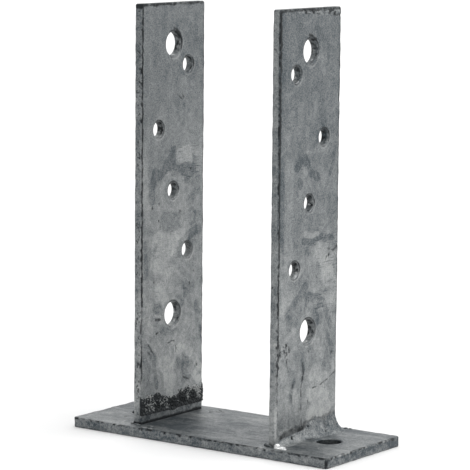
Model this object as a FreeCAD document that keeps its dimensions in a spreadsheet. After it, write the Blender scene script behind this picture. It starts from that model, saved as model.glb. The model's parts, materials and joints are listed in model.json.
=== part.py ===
"""Timber post base: two drilled flat-bar cheeks fillet-welded to a drilled base plate.

Millimetres, +Z up. The origin is the centre of the base plate's underside. The two cheeks
stand across the plate's long way (X) with the timber post between them, and each is held
by one fillet weld along its outer foot. Every size is a named cell of the sheet Sizes.
"""
import FreeCAD, Part
import math
import os

import Sketcher

# alias, value, what it sets
SIZES = [
    ("plate_length", 180.0, "base plate, long side"),
    ("plate_width", 75.0, "base plate, short side"),
    ("plate_thick", 6.0, "base plate, thickness"),
    ("plate_corner", 2.0, "radius of the plate's four upright corners"),
    ("plate_edge", 0.5, "bevel of the plate's top and bottom edges"),
    ("anchor_dia", 14.0, "anchor bolt hole"),
    ("anchor_end", 24.0, "anchor hole centre to the plate's end"),
    ("post_gap", 91.0, "clear gap between the cheeks"),
    ("bar_width", 60.0, "cheek, width"),
    ("bar_thick", 5.0, "cheek, thickness"),
    ("bar_length", 244.0, "cheek, foot to top"),
    ("bar_corner", 1.5, "radius of a cheek's two top corners"),
    ("bar_edge", 0.6, "bevel of a cheek's long edges and top edge"),
    ("bolt_dia", 14.0, "through-bolt hole in a cheek"),
    ("bolt_low", 61.5, "lower bolt hole centre above the cheek's foot"),
    ("bolt_top", 24.0, "upper bolt hole centre below the cheek's top"),
    ("screw_dia", 9.0, "coach screw hole in a cheek"),
    ("screw_pitch", 36.5, "step in height from one screw hole to the next"),
    ("screw_offset", 14.0, "staggered screw holes, off the cheek's centre line"),
    ("hole_rim", 0.7, "bevel of every hole's rims"),
    ("weld_inset", 1.5, "weld's ends, in from the cheek's edges"),
    ("weld_ripple", 0.06, "how much smaller the weld is between two ripples, as a share"),
    ("weld_hollow", 0.13, "dip of the weld's face below flat, over the face's width"),
    ("weld_tail_up", 3.0, "weld's thin end, leg up the cheek"),
    ("weld_tail_out", 2.6, "weld's thin end, leg out on the plate"),
    ("weld_lean_up", 7.6, "first bulge, leg up the cheek"),
    ("weld_lean_out", 4.6, "first bulge, leg out on the plate"),
    ("weld_waist_up", 6.4, "waist at mid length, leg up the cheek"),
    ("weld_waist_out", 4.2, "waist at mid length, leg out on the plate"),
    ("weld_full_up", 9.4, "second bulge, leg up the cheek"),
    ("weld_full_out", 5.8, "second bulge, leg out on the plate"),
    ("weld_stop_up", 8.6, "weld's thick end, leg up the cheek"),
    ("weld_stop_out", 4.8, "weld's thick end, leg out on the plate"),
]

# A weld's stages: the middle word of their two size names, and their place along the weld,
# counted in half ripples from its thin end.
WELD_STAGES = [("tail", 0), ("lean", 4), ("waist", 10), ("full", 16), ("stop", 20)]

# A cheek's screw holes from the lowest up: steps of pitch above the lower bolt hole, and
# the side of the centre line that each stands on.
SCREW_HOLES = [(1, -1), (2, 0), (3, 1), (4, -1)]

# an edge flatter than this lies in a plane across that axis
FLAT = 1e-3


def make_sheet(doc):
    """Put every size into the spreadsheet, each under its own alias."""
    sheet = doc.addObject("Spreadsheet::Sheet", "Sizes")
    for row, (alias, value, meaning) in enumerate(SIZES, start=1):
        sheet.set(f"A{row}", meaning)
        sheet.set(f"B{row}", str(value))
        sheet.setAlias(f"B{row}", alias)
    doc.recompute()
    return sheet


def make_body(doc, label, x="0", z="0", turned=False):
    """Start a body at a height and a distance along X, turned half round if asked."""
    body = doc.addObject("PartDesign::Body", label)
    body.Label = label
    if turned:
        body.Placement.Rotation = FreeCAD.Rotation(FreeCAD.Vector(0, 0, 1), 180)
    body.setExpression("Placement.Base.x", x)
    body.setExpression("Placement.Base.z", z)
    return body


def make_sketch(body, name, role, lift=None):
    """Lay a sketch on one of the body's origin planes, lifted off it if asked."""
    sketch = body.newObject("Sketcher::SketchObject", name)
    plane = next(f for f in body.Origin.OriginFeatures if f.Role == role)
    sketch.AttachmentSupport = [(plane, "")]
    sketch.MapMode = "FlatFace"
    if lift:
        sketch.setExpression("AttachmentOffset.Base.z", lift)
    return sketch


def size_of(sketch, expression):
    """Read an expression's present value."""
    return float(sketch.evalExpression(expression))


def dimension(sketch, name, expression, kind, *places):
    """Add a dimension to a sketch and bind it to an expression of the sheet."""
    value = size_of(sketch, expression)
    index = sketch.addConstraint(Sketcher.Constraint(kind, *places, value))
    sketch.renameConstraint(index, name)
    sketch.setExpression("Constraints." + name, expression)


def draw_rectangle(sketch, width, height, foot):
    """Draw a rectangle centred on the upright axis, its lower side at the height foot."""
    half = size_of(sketch, width) / 2
    low = size_of(sketch, foot)
    high = low + size_of(sketch, height)
    corners = [(-half, low), (half, low), (half, high), (-half, high)]
    points = [FreeCAD.Vector(x, y, 0) for x, y in corners]
    for start, end in zip(points, points[1:] + points[:1]):
        sketch.addGeometry(Part.LineSegment(start, end), False)
    for line in range(4):
        sketch.addConstraint(Sketcher.Constraint("Coincident", line, 2, (line + 1) % 4, 1))
    sketch.addConstraint(Sketcher.Constraint("Symmetric", 0, 1, 0, 2, -2))
    sketch.addConstraint(Sketcher.Constraint("Vertical", 1))
    sketch.addConstraint(Sketcher.Constraint("Horizontal", 2))
    sketch.addConstraint(Sketcher.Constraint("Vertical", 3))
    dimension(sketch, "width", width, "DistanceX", 0, 1, 0, 2)
    dimension(sketch, "height", height, "DistanceY", 1, 1, 1, 2)
    dimension(sketch, "foot", foot, "DistanceY", -1, 1, 0, 1)


def draw_holes(sketch, diameter, centres):
    """Draw one circle at each pair of expressions in centres."""
    for index, (across, along) in enumerate(centres):
        middle = FreeCAD.Vector(size_of(sketch, across), size_of(sketch, along), 0)
        radius = size_of(sketch, diameter) / 2
        up = FreeCAD.Vector(0, 0, 1)
        sketch.addGeometry(Part.Circle(middle, up, radius), False)
        dimension(sketch, f"across{index}", across, "DistanceX", -1, 1, index, 3)
        dimension(sketch, f"along{index}", along, "DistanceY", -1, 1, index, 3)
        dimension(sketch, f"bore{index}", diameter, "Diameter", index)


def make_pad(doc, body, sketch, thickness):
    """Thicken a sketch's outline along its plane's normal."""
    pad = body.newObject("PartDesign::Pad", sketch.Name + "_pad")
    pad.Profile = sketch
    pad.setExpression("Length", thickness)
    doc.recompute()


def cut_holes(doc, body, sketch):
    """Cut a sketch's circles through the whole body, along its plane's normal."""
    before = body.Tip.Shape.Volume
    pocket = body.newObject("PartDesign::Pocket", sketch.Name + "_cut")
    pocket.Profile = sketch
    pocket.Type = "ThroughAll"
    pocket.Reversed = True
    doc.recompute()
    if not pocket.Shape.Volume < before:
        raise RuntimeError(sketch.Name + " cuts nothing")


def pick_edges(feature, wanted):
    """Name the edges of a feature that the test wanted lets through."""
    return [f"Edge{n}" for n, edge in enumerate(feature.Shape.Edges, start=1) if wanted(edge)]


def round_edges(doc, body, name, radius, wanted):
    """Fillet the wanted edges of the body's last feature."""
    base = body.Tip
    fillet = body.newObject("PartDesign::Fillet", name)
    fillet.Base = (base, pick_edges(base, wanted))
    fillet.setExpression("Radius", radius)
    doc.recompute()


def bevel_edges(doc, body, name, size, wanted):
    """Chamfer the wanted edges of the body's last feature."""
    base = body.Tip
    chamfer = body.newObject("PartDesign::Chamfer", name)
    chamfer.Base = (base, pick_edges(base, wanted))
    chamfer.setExpression("Size", size)
    doc.recompute()


def is_rim(edge):
    """A hole's rim is the only edge that closes on itself."""
    return edge.isClosed()


def make_plate(doc):
    """Base plate: a length of flat bar with an anchor hole towards each end."""
    body = make_body(doc, "base_plate")
    outline = make_sketch(body, "plate_outline", "XY_Plane")
    draw_rectangle(outline, "Sizes.plate_length", "Sizes.plate_width", "-Sizes.plate_width / 2")
    make_pad(doc, body, outline, "Sizes.plate_thick")
    round_edges(doc, body, "plate_corners", "Sizes.plate_corner",
                lambda edge: edge.BoundBox.ZLength > FLAT)
    bevel_edges(doc, body, "plate_edges", "Sizes.plate_edge",
                lambda edge: edge.BoundBox.ZLength < FLAT)
    holes = make_sketch(body, "anchor_holes", "XY_Plane")
    reach = "(Sizes.plate_length / 2 - Sizes.anchor_end)"
    draw_holes(holes, "Sizes.anchor_dia", [("-" + reach, "0"), (reach, "0")])
    cut_holes(doc, body, holes)
    bevel_edges(doc, body, "anchor_rims", "Sizes.hole_rim", is_rim)
    return body


def make_cheek(doc, label, side):
    """One cheek, standing on the plate with its inner face on the post gap.

    Its own X runs outwards from the post, so the second cheek is the first turned half
    round: the staggered screw holes of the two don't face each other.
    """
    half_gap = f"{side} * Sizes.post_gap / 2"
    body = make_body(doc, label, half_gap, "Sizes.plate_thick", turned=side < 0)
    outline = make_sketch(body, label + "_outline", "YZ_Plane")
    draw_rectangle(outline, "Sizes.bar_width", "Sizes.bar_length", "0")
    make_pad(doc, body, outline, "Sizes.bar_thick")
    round_edges(doc, body, label + "_corners", "Sizes.bar_corner",
                lambda edge: edge.BoundBox.XLength > FLAT and edge.BoundBox.ZMin > FLAT)
    bevel_edges(doc, body, label + "_edges", "Sizes.bar_edge",
                lambda edge: edge.BoundBox.XLength < FLAT and edge.BoundBox.ZMax > FLAT)

    bolts = make_sketch(body, label + "_bolt_holes", "YZ_Plane")
    bolt_heights = ["Sizes.bolt_low", "Sizes.bar_length - Sizes.bolt_top"]
    draw_holes(bolts, "Sizes.bolt_dia", [("0", height) for height in bolt_heights])
    cut_holes(doc, body, bolts)

    screws = make_sketch(body, label + "_screw_holes", "YZ_Plane")
    centres = [(f"{stagger} * Sizes.screw_offset", f"Sizes.bolt_low + {step} * Sizes.screw_pitch")
               for step, stagger in SCREW_HOLES]
    draw_holes(screws, "Sizes.screw_dia", centres)
    cut_holes(doc, body, screws)
    bevel_edges(doc, body, label + "_rims", "Sizes.hole_rim", is_rim)
    return body


def draw_weld_section(sketch, up, out):
    """Draw a fillet weld's section: its corner at the origin, two legs and a hollow face.

    The face is an arc that dips below the chord between the legs' tips. For a chord c and
    a dip d its radius is c^2 / (8 d) + d / 2, and its centre stands off the chord by the
    radius less the dip, on the side away from the corner.
    """
    chord = f"sqrt(({up}) ^ 2 + ({out}) ^ 2)"
    dip = f"(Sizes.weld_hollow * {chord})"
    bend = f"{chord} ^ 2 / (8 * {dip}) + {dip} / 2"
    high = size_of(sketch, up)
    wide = size_of(sketch, out)
    radius = size_of(sketch, bend)
    corner = FreeCAD.Vector(0, 0, 0)
    top = FreeCAD.Vector(0, high, 0)
    toe = FreeCAD.Vector(wide, 0, 0)
    outward = FreeCAD.Vector(high, wide, 0).normalize()
    centre = (top + toe) / 2 + outward * (radius - size_of(sketch, dip))
    circle = Part.Circle(centre, FreeCAD.Vector(0, 0, 1), radius)
    turns = [math.atan2(tip.y - centre.y, tip.x - centre.x) for tip in (top, toe)]

    sketch.addGeometry(Part.LineSegment(corner, top), False)
    sketch.addGeometry(Part.ArcOfCircle(circle, *turns), False)
    sketch.addGeometry(Part.LineSegment(toe, corner), False)
    sketch.addConstraint(Sketcher.Constraint("Coincident", 0, 1, -1, 1))
    sketch.addConstraint(Sketcher.Constraint("Coincident", 0, 2, 1, 1))
    sketch.addConstraint(Sketcher.Constraint("Coincident", 1, 2, 2, 1))
    sketch.addConstraint(Sketcher.Constraint("Coincident", 2, 2, 0, 1))
    sketch.addConstraint(Sketcher.Constraint("Vertical", 0))
    sketch.addConstraint(Sketcher.Constraint("Horizontal", 2))
    dimension(sketch, "up", up, "DistanceY", 0, 1, 0, 2)
    dimension(sketch, "out", out, "DistanceX", 2, 2, 2, 1)
    dimension(sketch, "bend", bend, "Radius", 1)


def weld_leg(leg, count):
    """Say how long a leg is some half ripples along the weld, as an expression.

    It runs evenly from each stage to the next, and every second section is a valley.
    """
    (before, start), (after, end) = next(
        pair for pair in zip(WELD_STAGES, WELD_STAGES[1:]) if count <= pair[1][1])
    share = (count - start) / (end - start)
    valley = count % 2
    return (f"(Sizes.weld_{before}_{leg} * {1 - share} + Sizes.weld_{after}_{leg} * {share})"
            f" * (1 - {valley} * Sizes.weld_ripple)")


def make_weld(doc, label, side):
    """One weld bead along a cheek's outer foot, lofted ripple by ripple.

    Its own X runs out along the plate and its corner is the joint's root. The thin end is
    towards -Y on both beads, so the turned body takes its sections the other way round.
    """
    root = f"{side} * (Sizes.post_gap / 2 + Sizes.bar_thick)"
    body = make_body(doc, label, root, "Sizes.plate_thick", turned=side < 0)
    last = WELD_STAGES[-1][1]
    sections = []
    for count in range(last + 1):
        lift = f"{side} * (0.5 - {count / last}) * (Sizes.bar_width - 2 * Sizes.weld_inset)"
        sketch = make_sketch(body, f"{label}_section{count}", "XZ_Plane", lift)
        draw_weld_section(sketch, weld_leg("up", count), weld_leg("out", count))
        sections.append(sketch)
    doc.recompute()
    loft = body.newObject("PartDesign::AdditiveLoft", label + "_loft")
    loft.Profile = sections[0]
    loft.Sections = sections[1:]
    loft.Ruled = True
    doc.recompute()
    return body


def check_document(doc, bodies):
    """Stop if any object failed, or a body is empty, broken or more than one solid."""
    for item in doc.Objects:
        if "Invalid" in item.State or "Error" in item.State:
            raise RuntimeError(f"{item.Label} failed to recompute")
    for body in bodies:
        shape = body.Shape
        if shape.isNull() or not shape.isValid() or len(shape.Solids) != 1:
            raise RuntimeError(f"{body.Label} is not one valid solid")


def main():
    doc = FreeCAD.newDocument("timber_post_base")
    make_sheet(doc)
    bodies = [
        make_plate(doc),
        make_cheek(doc, "left_upright", -1),
        make_cheek(doc, "right_upright", 1),
        make_weld(doc, "left_weld", -1),
        make_weld(doc, "right_weld", 1),
    ]
    doc.recompute()
    check_document(doc, bodies)
    os.makedirs("parts", exist_ok=True)
    for body in bodies:
        body.Shape.exportStep(f"parts/{body.Label}.step")


main()
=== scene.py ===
"""Galvanised finish, welds and stage for a timber post base, laid out as a Blender add-on.

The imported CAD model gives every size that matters. Each steel piece is rebuilt over its CAD
solid as a dense surface worked out with numpy, so that the zinc coat can be uneven, and is
finished with node materials. Shapes are worked out in millimetres and stored in metres.
"""

import itertools
import json
import math

import bpy
import numpy as np
from bpy.props import FloatProperty, FloatVectorProperty, PointerProperty
from mathutils import Matrix, Vector


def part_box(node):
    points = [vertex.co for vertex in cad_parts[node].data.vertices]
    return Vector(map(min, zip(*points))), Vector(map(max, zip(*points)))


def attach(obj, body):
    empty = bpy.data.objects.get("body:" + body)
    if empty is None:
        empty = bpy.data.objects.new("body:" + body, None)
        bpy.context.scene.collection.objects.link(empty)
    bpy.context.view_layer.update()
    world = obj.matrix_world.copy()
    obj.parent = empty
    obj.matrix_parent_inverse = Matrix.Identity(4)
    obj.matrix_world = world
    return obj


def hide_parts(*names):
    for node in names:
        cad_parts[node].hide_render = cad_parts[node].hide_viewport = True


bl_info = {
    "name": "Galvanised Post Base",
    "version": (1, 0, 0),
    "blender": (4, 5, 0),
    "location": "View3D > Sidebar > Post Base",
    "description": "Builds the galvanised finish, welds and stage of a timber post base",
    "category": "Object",
}

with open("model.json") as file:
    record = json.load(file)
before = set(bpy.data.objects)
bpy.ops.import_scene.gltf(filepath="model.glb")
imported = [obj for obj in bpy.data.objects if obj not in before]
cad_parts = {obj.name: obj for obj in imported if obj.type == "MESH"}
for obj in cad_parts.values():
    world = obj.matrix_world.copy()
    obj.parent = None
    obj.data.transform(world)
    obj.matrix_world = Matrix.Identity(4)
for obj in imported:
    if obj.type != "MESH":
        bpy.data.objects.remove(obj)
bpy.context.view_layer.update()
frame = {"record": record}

MM = 0.001

# Farther than any place on the part, in millimetres.
FAR = 1000
SIDES = (("left", -1), ("right", 1))


# ---------------------------------------------------------------- sizes and colours

def length(name, description, default):
    """A length property, stored in metres."""
    return FloatProperty(name=name, description=description, default=default, min=0.0,
                         unit="LENGTH", subtype="DISTANCE", precision=5)


def colour(name, description, default):
    """A linear colour property."""
    return FloatVectorProperty(name=name, description=description, default=default, size=3,
                               min=0.0, max=1.0, subtype="COLOR")


def angle(name, description, degrees):
    """An angle property, given in degrees."""
    return FloatProperty(name=name, description=description, default=math.radians(degrees),
                         subtype="ANGLE")


def vector(name, description, default, unit="NONE"):
    """A property of three numbers along X, Y and Z."""
    return FloatVectorProperty(name=name, description=description, default=default, size=3,
                               subtype="XYZ", unit=unit)


def strength(name, description, default):
    """A light's strength."""
    return FloatProperty(name=name, description=description, default=default, min=0.0)


class PostBaseSizes(bpy.types.PropertyGroup):
    step: length("Step", "Widest gap between two lines of a bar's grid", 0.00066)
    plate_step: length("Plate step", "Widest gap between two lines of the plate's grid", 0.00072)
    edge_round: length("Edge round", "Radius of the bars' and the plate's long edges", 0.0007)
    rim_round: length("Rim round", "Radius of a hole's rim under the zinc", 0.0009)
    bar_corner: length("Bar corner", "Radius of a bar's top corners", 0.0015)
    plate_corner: length("Plate corner", "Radius of the plate's upright corners", 0.002)
    coat_wave: length("Coat wave", "Height of the zinc coat's broad waves", 0.00011)
    coat_run: length("Coat run", "Height of the runs that drained down the bars", 0.00007)
    edge_bead: length("Edge bead", "Height of the beads along the long edges", 0.00022)
    rim_bead: length("Rim bead", "Height of the zinc ring round a hole", 0.00016)
    weld_lump: length("Weld lump", "Height of the lumps on a weld's face", 0.00042)
    crust_depth: length("Crust depth", "Thickness of the ash crust on the left bar's foot", 0.0011)
    crease: length("Crease", "Depth of the creases in a bar's coat", 0.00016)
    nibble: length("Nibble", "Height of the small lumps on a bar's long edges", 0.00016)
    burr: length("Burr", "Height of the burr under the right bar's top edge", 0.0006)
    plate_run: length("Plate run", "Height of the runs along the plate", 0.00005)
    wall_lump: length("Wall lump", "Height of the lumps on the plate's narrow sides", 0.0001)
    wall_inset: length("Wall inset", "How far the plate's narrow sides stand back", 0.00012)
    edge_bite: length("Edge bite", "Depth of the bites in the plate's edges", 0.00025)
    dross: length("Dross", "Height of the dross on the plate's top", 0.0003)
    weld_pit: length("Weld pit", "Depth of the pits in the right weld", 0.0009)
    undercut: length("Undercut", "Depth of the gully along the right weld's upper toe", 0.00045)


class PostBaseColours(bpy.types.PropertyGroup):
    zinc_dark: colour("Dark zinc", "Darkest mottling of the zinc coat", (0.050, 0.064, 0.074))
    zinc_light: colour("Light zinc", "Lightest mottling of the zinc coat", (0.430, 0.440, 0.435))
    # Glint is the colour of painted highlights on lower rims, bore flecks, burr crests, the near
    # corner and drops.
    glint: colour("Glint", "Wet-looking fresh zinc", (0.80, 0.81, 0.81))
    # Painted shade colour, laid in joints, bores, creases, pits and along edges, and also used for
    # dark marks.
    soot: colour("Soot", "Shadowed zinc in joints, bores and pits", (0.012, 0.015, 0.017))
    crust: colour("Crust", "Ash crust at the left bar's foot", (0.030, 0.036, 0.039))
    floor: colour("Floor", "Plain pale floor", (0.92, 0.92, 0.92))


class PostBaseStage(bpy.types.PropertyGroup):
    azimuth: angle("Azimuth", "Camera's turn round the object", 35.75)
    elevation: angle("Elevation", "Camera's angle above the floor", 7.83)
    roll: angle("Roll", "Camera's turn about its own axis", 0.52)
    distance: length("Distance", "Camera to target", 1.455)
    target: vector("Target", "Point the camera looks at", (-0.00059, 0.0, 0.11809), "LENGTH")
    lens: FloatProperty(name="Lens", description="Focal length in millimetres", default=193.85,
                        min=1.0)
    sky: strength("Sky", "Strength of the even studio light", 0.92)
    slope: vector("Slope", "How much brighter each side's light is", (0.13, 0.38, 0.22))
    key: strength("Key", "Strength of the soft key light", 0.7)
    key_spread: angle("Key spread", "How wide the key light looks", 50)
    key_from: vector("Key from", "Where the key light shines from", (0.40, 0.05, 0.92))
    floor_reach: length("Floor reach", "Half the floor's width", 30.0)


# ---------------------------------------------------------------- numbers from the frame

def box_mm(node):
    """A CAD node's lowest and highest corner, in millimetres."""
    low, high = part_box(node)
    return np.array(low) / MM, np.array(high) / MM


def bar_holes(side):
    """Every hole of one bar, as rows of (y, z, radius) in millimetres.

    A long bore in the record passes through both bars, and a short one or a pattern belongs
    to the bar on its own side.
    """
    rows = []
    for mount in frame["record"]["mounts"]:
        if abs(mount["axis"][0]) < 0.5:
            continue
        x, y, z = np.array(mount["pos_m"]) / MM
        sizes = mount["dims"]
        if mount["kind"] == "bore" and (sizes["length_mm"] > 20 or x * side > 0):
            rows.append((y, z, sizes["r_mm"]))
        if mount["kind"] == "bolt_pattern" and x * side > 0:
            half = sizes["spacing_y_mm"] / 2
            rows += [(y, z - half, sizes["hole_r_mm"]), (y, z + half, sizes["hole_r_mm"])]
    return np.array(sorted(rows, key=lambda row: row[1]))


def plate_holes():
    """The plate's anchor holes, as rows of (x, y, radius) in millimetres."""
    mount = next(m for m in frame["record"]["mounts"] if m["name"] == "anchor_holes")
    half = mount["dims"]["spacing_x_mm"] / 2
    return np.array([(-half, 0.0, mount["dims"]["hole_r_mm"]),
                     (half, 0.0, mount["dims"]["hole_r_mm"])])


# ---------------------------------------------------------------- noise

def lattice(cells, seed):
    """A fixed random number from 0 to 1 for every whole-numbered cell, by mixing its bits."""
    mixed = np.full(cells.shape[:-1], seed * 7919 + 101, np.uint32)
    for column, factor in zip(np.moveaxis(cells, -1, 0), (73856093, 19349663, 83492791)):
        mixed = (mixed ^ (column.astype(np.uint32) * np.uint32(factor))) * np.uint32(2654435761)
        mixed ^= mixed >> np.uint32(15)
    return mixed / np.float64(2 ** 32)


def waves(points, size, seed):
    """Smooth noise from -1 to 1: random heights on a lattice of that size, eased between."""
    places = np.asarray(points) / size
    floor = np.floor(places)
    part = places - floor
    ease = part * part * (3 - 2 * part)
    total = np.zeros(places.shape[:-1])
    for corner in itertools.product((0, 1), repeat=places.shape[-1]):
        share = np.prod(np.where(corner, ease, 1 - ease), axis=-1)
        total += share * lattice((floor + corner).astype(np.int64), seed)
    return 2 * total - 1


def layers(points, size, seed, count=3):
    """A sum of smooth noises, each half the size and half the height of the one before."""
    total = sum(waves(points, size / 2 ** k, seed + k) / 2 ** k for k in range(count))
    return total / (2 - 0.5 ** (count - 1))


def cells(points, size, seed):
    """Distance to the nearest of a jittered lattice of seeds, in units of the lattice."""
    places = np.asarray(points) / size
    floor = np.floor(places)
    nearest = np.full(places.shape[:-1], 9.0)
    for corner in itertools.product((-1, 0, 1), repeat=places.shape[-1]):
        cell = (floor + corner).astype(np.int64)
        seeds = [lattice(cell, seed + 31 * k) for k in range(places.shape[-1])]
        away = np.linalg.norm(cell + np.stack(seeds, axis=-1) - places, axis=-1)
        nearest = np.minimum(nearest, away)
    return nearest


def fade(value, start, end):
    """A smooth step from 0 at start to 1 at end, either way round."""
    share = np.clip((value - start) / (end - start), 0, 1)
    return share * share * (3 - 2 * share)


def window(value, start, full, fall, end):
    """A smooth window: 0 outside start and end, and 1 from full to fall."""
    return fade(value, start, full) * fade(value, end, fall)


def oval(places, middle, halves, edge, full):
    """A soft oval mask: 1 up to full half widths from its middle, and 0 past edge of them."""
    return fade(np.linalg.norm((places - np.array(middle)) / halves, axis=-1), edge, full)


# ---------------------------------------------------------------- surfaces

def spread(stops, step):
    """Lines through every stop, with each gap divided evenly into steps no wider than step."""
    stops = np.unique(np.round(stops, 4))
    counts = np.ceil(np.diff(stops) / step - 1e-6).astype(int)
    runs = [np.linspace(a, b, n, endpoint=False) for a, b, n in zip(stops, stops[1:], counts)]
    return np.concatenate(runs + [stops[-1:]])


def arc_steps(radius, count=5):
    """Distances from an edge at which a rounding of that radius turns by equal angles."""
    return radius * (1 - np.cos(np.linspace(0, math.pi / 2, count + 1)))


def shares_between(count):
    """Even shares of the way for that many rings of points between two others."""
    return np.linspace(0, 1, count + 2)[1:-1, None, None]


def loop_of(index):
    """The border of a block of grid indices, counter-clockwise."""
    return np.concatenate([index[0, :-1], index[:-1, -1], index[-1, :0:-1], index[:0:-1, 0]])


def strips(rings):
    """Quads between each closed ring of indices and the next."""
    ahead = np.roll(rings, -1, axis=1)
    return np.stack([rings[:-1], ahead[:-1], ahead[1:], rings[1:]], axis=-1).reshape(-1, 4)


def grid_quads(index):
    """Quads of a block of grid indices."""
    return np.stack([index[:-1, :-1], index[:-1, 1:], index[1:, 1:], index[1:, :-1]], axis=-1)


def round_corners(points, low, high, radius, corners):
    """Pull the named corners of a rectangle of points onto arcs.

    In a corner's square a point keeps its direction from the arc's centre, and its larger
    distance along an axis becomes its radius.
    """
    for corner in corners:
        centre = np.where(np.array(corner) > 0, high - radius, low + radius)
        offset = (points - centre) * corner
        inside = (offset > 0).all(axis=1)
        pull = offset[inside].max(axis=1) / np.linalg.norm(offset[inside], axis=1)
        points[inside] = centre + (points[inside] - centre) * pull[:, None]
    return points


def drilled_sheet(us, vs, holes, rim_round):
    """A flat grid with round holes: points, quads, each hole's rim and the outline.

    Each hole stands in a block of whole cells, which is left out. Rings fill it: they run
    evenly from the block's border to a circle as wide as the rim's rounding, point by point
    at the same bearing, and then close in to the hole's own circle.
    """
    index = np.arange(len(us) * len(vs)).reshape(len(vs), len(us))
    points = [np.stack(np.meshgrid(us, vs), axis=-1).reshape(-1, 2)]
    kept = np.ones((len(vs) - 1, len(us) - 1), bool)
    total = index.size
    quads, rims = [], []
    for (u, v, radius), block in holes:
        i0, i1 = (int(np.abs(us - stop).argmin()) for stop in block[0])
        j0, j1 = (int(np.abs(vs - stop).argmin()) for stop in block[1])
        kept[j0:j1, i0:i1] = False
        border = loop_of(index[j0:j1 + 1, i0:i1 + 1])
        start = points[0][border]
        bearing = start - (u, v)
        reach = np.linalg.norm(bearing, axis=1, keepdims=True)
        bearing /= reach
        close = arc_steps(rim_round)[::-1]
        wide = (radius + close)[:, None, None] * np.ones_like(reach)
        narrowing = shares_between(4) * (radius + rim_round - reach)
        radii = np.concatenate([reach + narrowing, wide])
        rings = np.array([u, v]) + radii * bearing
        ids = total + np.arange(rings.shape[0] * rings.shape[1]).reshape(rings.shape[:2])
        total += ids.size
        points.append(rings.reshape(-1, 2))
        quads.append(strips(np.vstack([border, ids])))
        rims.append(ids[-1])
    quads.append(grid_quads(index)[kept])
    return np.concatenate(points), np.concatenate(quads), rims, loop_of(index)


class Slab:
    """A drilled flat bar with rounded edges, as one closed surface.

    The sheet is laid on both broad faces. Within a radius r of an edge a face drops by
    r - sqrt(r^2 - (r - d)^2), where d is the distance to the edge, and even rings join the two
    faces round the outline and through each hole. With open_foot the outline's lower side
    doesn't count as an edge, because it stands on another piece.
    """

    def __init__(self, us, vs, holes, blocks, thick, sizes, corner, corners, open_foot):
        edge, rim = sizes.edge_round / MM, sizes.rim_round / MM
        flat, quads, rims, outline = drilled_sheet(us, vs, list(zip(holes, blocks)), rim)
        low, high = np.array([us[0], vs[0]]), np.array([us[-1], vs[-1]])
        flat = round_corners(flat, low, high, corner, corners)
        to_edge = self.outline_distance(flat, low, high, corner, open_foot)
        to_rim = np.min([np.hypot(*(flat - hole[:2]).T) - hole[2] for hole in holes], axis=0)
        drop = np.maximum(self.drop(to_edge, edge), self.drop(to_rim, rim))
        bottom, top = thick
        count = len(flat)
        upper = np.column_stack([flat, top - drop])
        lower = np.column_stack([flat, bottom + drop])
        points, faces = [upper, lower], [quads, quads[:, ::-1] + count]
        face = [np.ones(count), -np.ones(count)]
        edges, rims_away = [to_edge, to_edge], [to_rim, to_rim]
        total = 2 * count
        for number, ring in enumerate([outline] + rims):
            rings = upper[ring] + shares_between(7) * (lower[ring] - upper[ring])
            ids = total + np.arange(rings.shape[0] * rings.shape[1]).reshape(rings.shape[:2])
            total += ids.size
            stack = np.vstack([ring, ids, ring + count])
            faces.append(strips(stack[::-1] if number == 0 else stack))
            points.append(rings.reshape(-1, 3))
            face.append(np.zeros(ids.size))
            edges.append(np.tile(to_edge[ring], len(rings)))
            rims_away.append(np.tile(to_rim[ring], len(rings)))
        self.points = np.concatenate(points)
        self.faces = np.concatenate(faces)
        self.face = np.concatenate(face)
        self.to_edge = np.concatenate(edges)
        self.to_rim = np.concatenate(rims_away)
        self.drop_unused()

    @staticmethod
    def drop(away, radius):
        """How far a rounded face has dropped at a distance from its edge."""
        short = radius - np.clip(away, 0, radius)
        return radius - np.sqrt(radius ** 2 - short ** 2)

    @staticmethod
    def outline_distance(flat, low, high, corner, open_foot):
        """Distance inwards from a rectangle with rounded corners."""
        low = low - (0, FAR * open_foot)
        middle, half = (low + high) / 2, (high - low) / 2
        over = np.abs(flat - middle) - half + corner
        outside = np.linalg.norm(np.maximum(over, 0), axis=1)
        return corner - outside - np.minimum(over.max(axis=1), 0)

    def drop_unused(self):
        """Leave out the grid points that stood inside the holes."""
        used = np.zeros(len(self.points), bool)
        used[self.faces] = True
        order = np.cumsum(used) - 1
        self.faces = order[self.faces]
        for name in ("points", "face", "to_edge", "to_rim"):
            setattr(self, name, getattr(self, name)[used])


def normals_of(points, faces):
    """Unit normal of every point: the sum of its quads' crossed diagonals."""
    a, b, c, d = (points[faces[:, k]] for k in range(4))
    cross = np.cross(c - a, d - b)
    total = np.zeros_like(points)
    for k in range(4):
        np.add.at(total, faces[:, k], cross)
    return total / np.maximum(np.linalg.norm(total, axis=1, keepdims=True), 1e-12)


def add_piece(name, points, faces, masks, material, stands_for=()):
    """Put a surface into the scene: its mesh in metres, its masks, finish and body."""
    mesh = bpy.data.meshes.new(name)
    mesh.from_pydata((points * MM).tolist(), [], [list(face) for face in faces])
    mesh.validate()
    mesh.shade_smooth()
    for mask, values in masks.items():
        layer = mesh.attributes.new(mask, "FLOAT", "POINT")
        layer.data.foreach_set("value", np.clip(values, 0, 1).astype(np.float32))
    mesh.materials.append(material)
    piece = bpy.data.objects.new(name, mesh)
    bpy.context.scene.collection.objects.link(piece)
    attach(piece, "root")
    if stands_for:
        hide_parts(*stands_for)
    return piece


def crease(places, path):
    """Distance from each place to a line of straight runs through the path's points."""
    path = np.array(path, float)
    nearest = np.full(len(places), float(FAR))
    for start, end in zip(path, path[1:]):
        run = end - start
        share = np.clip((places - start) @ run / (run @ run), 0, 1)
        nearest = np.minimum(nearest, np.linalg.norm(places - start - share[:, None] * run, axis=1))
    return nearest


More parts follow.
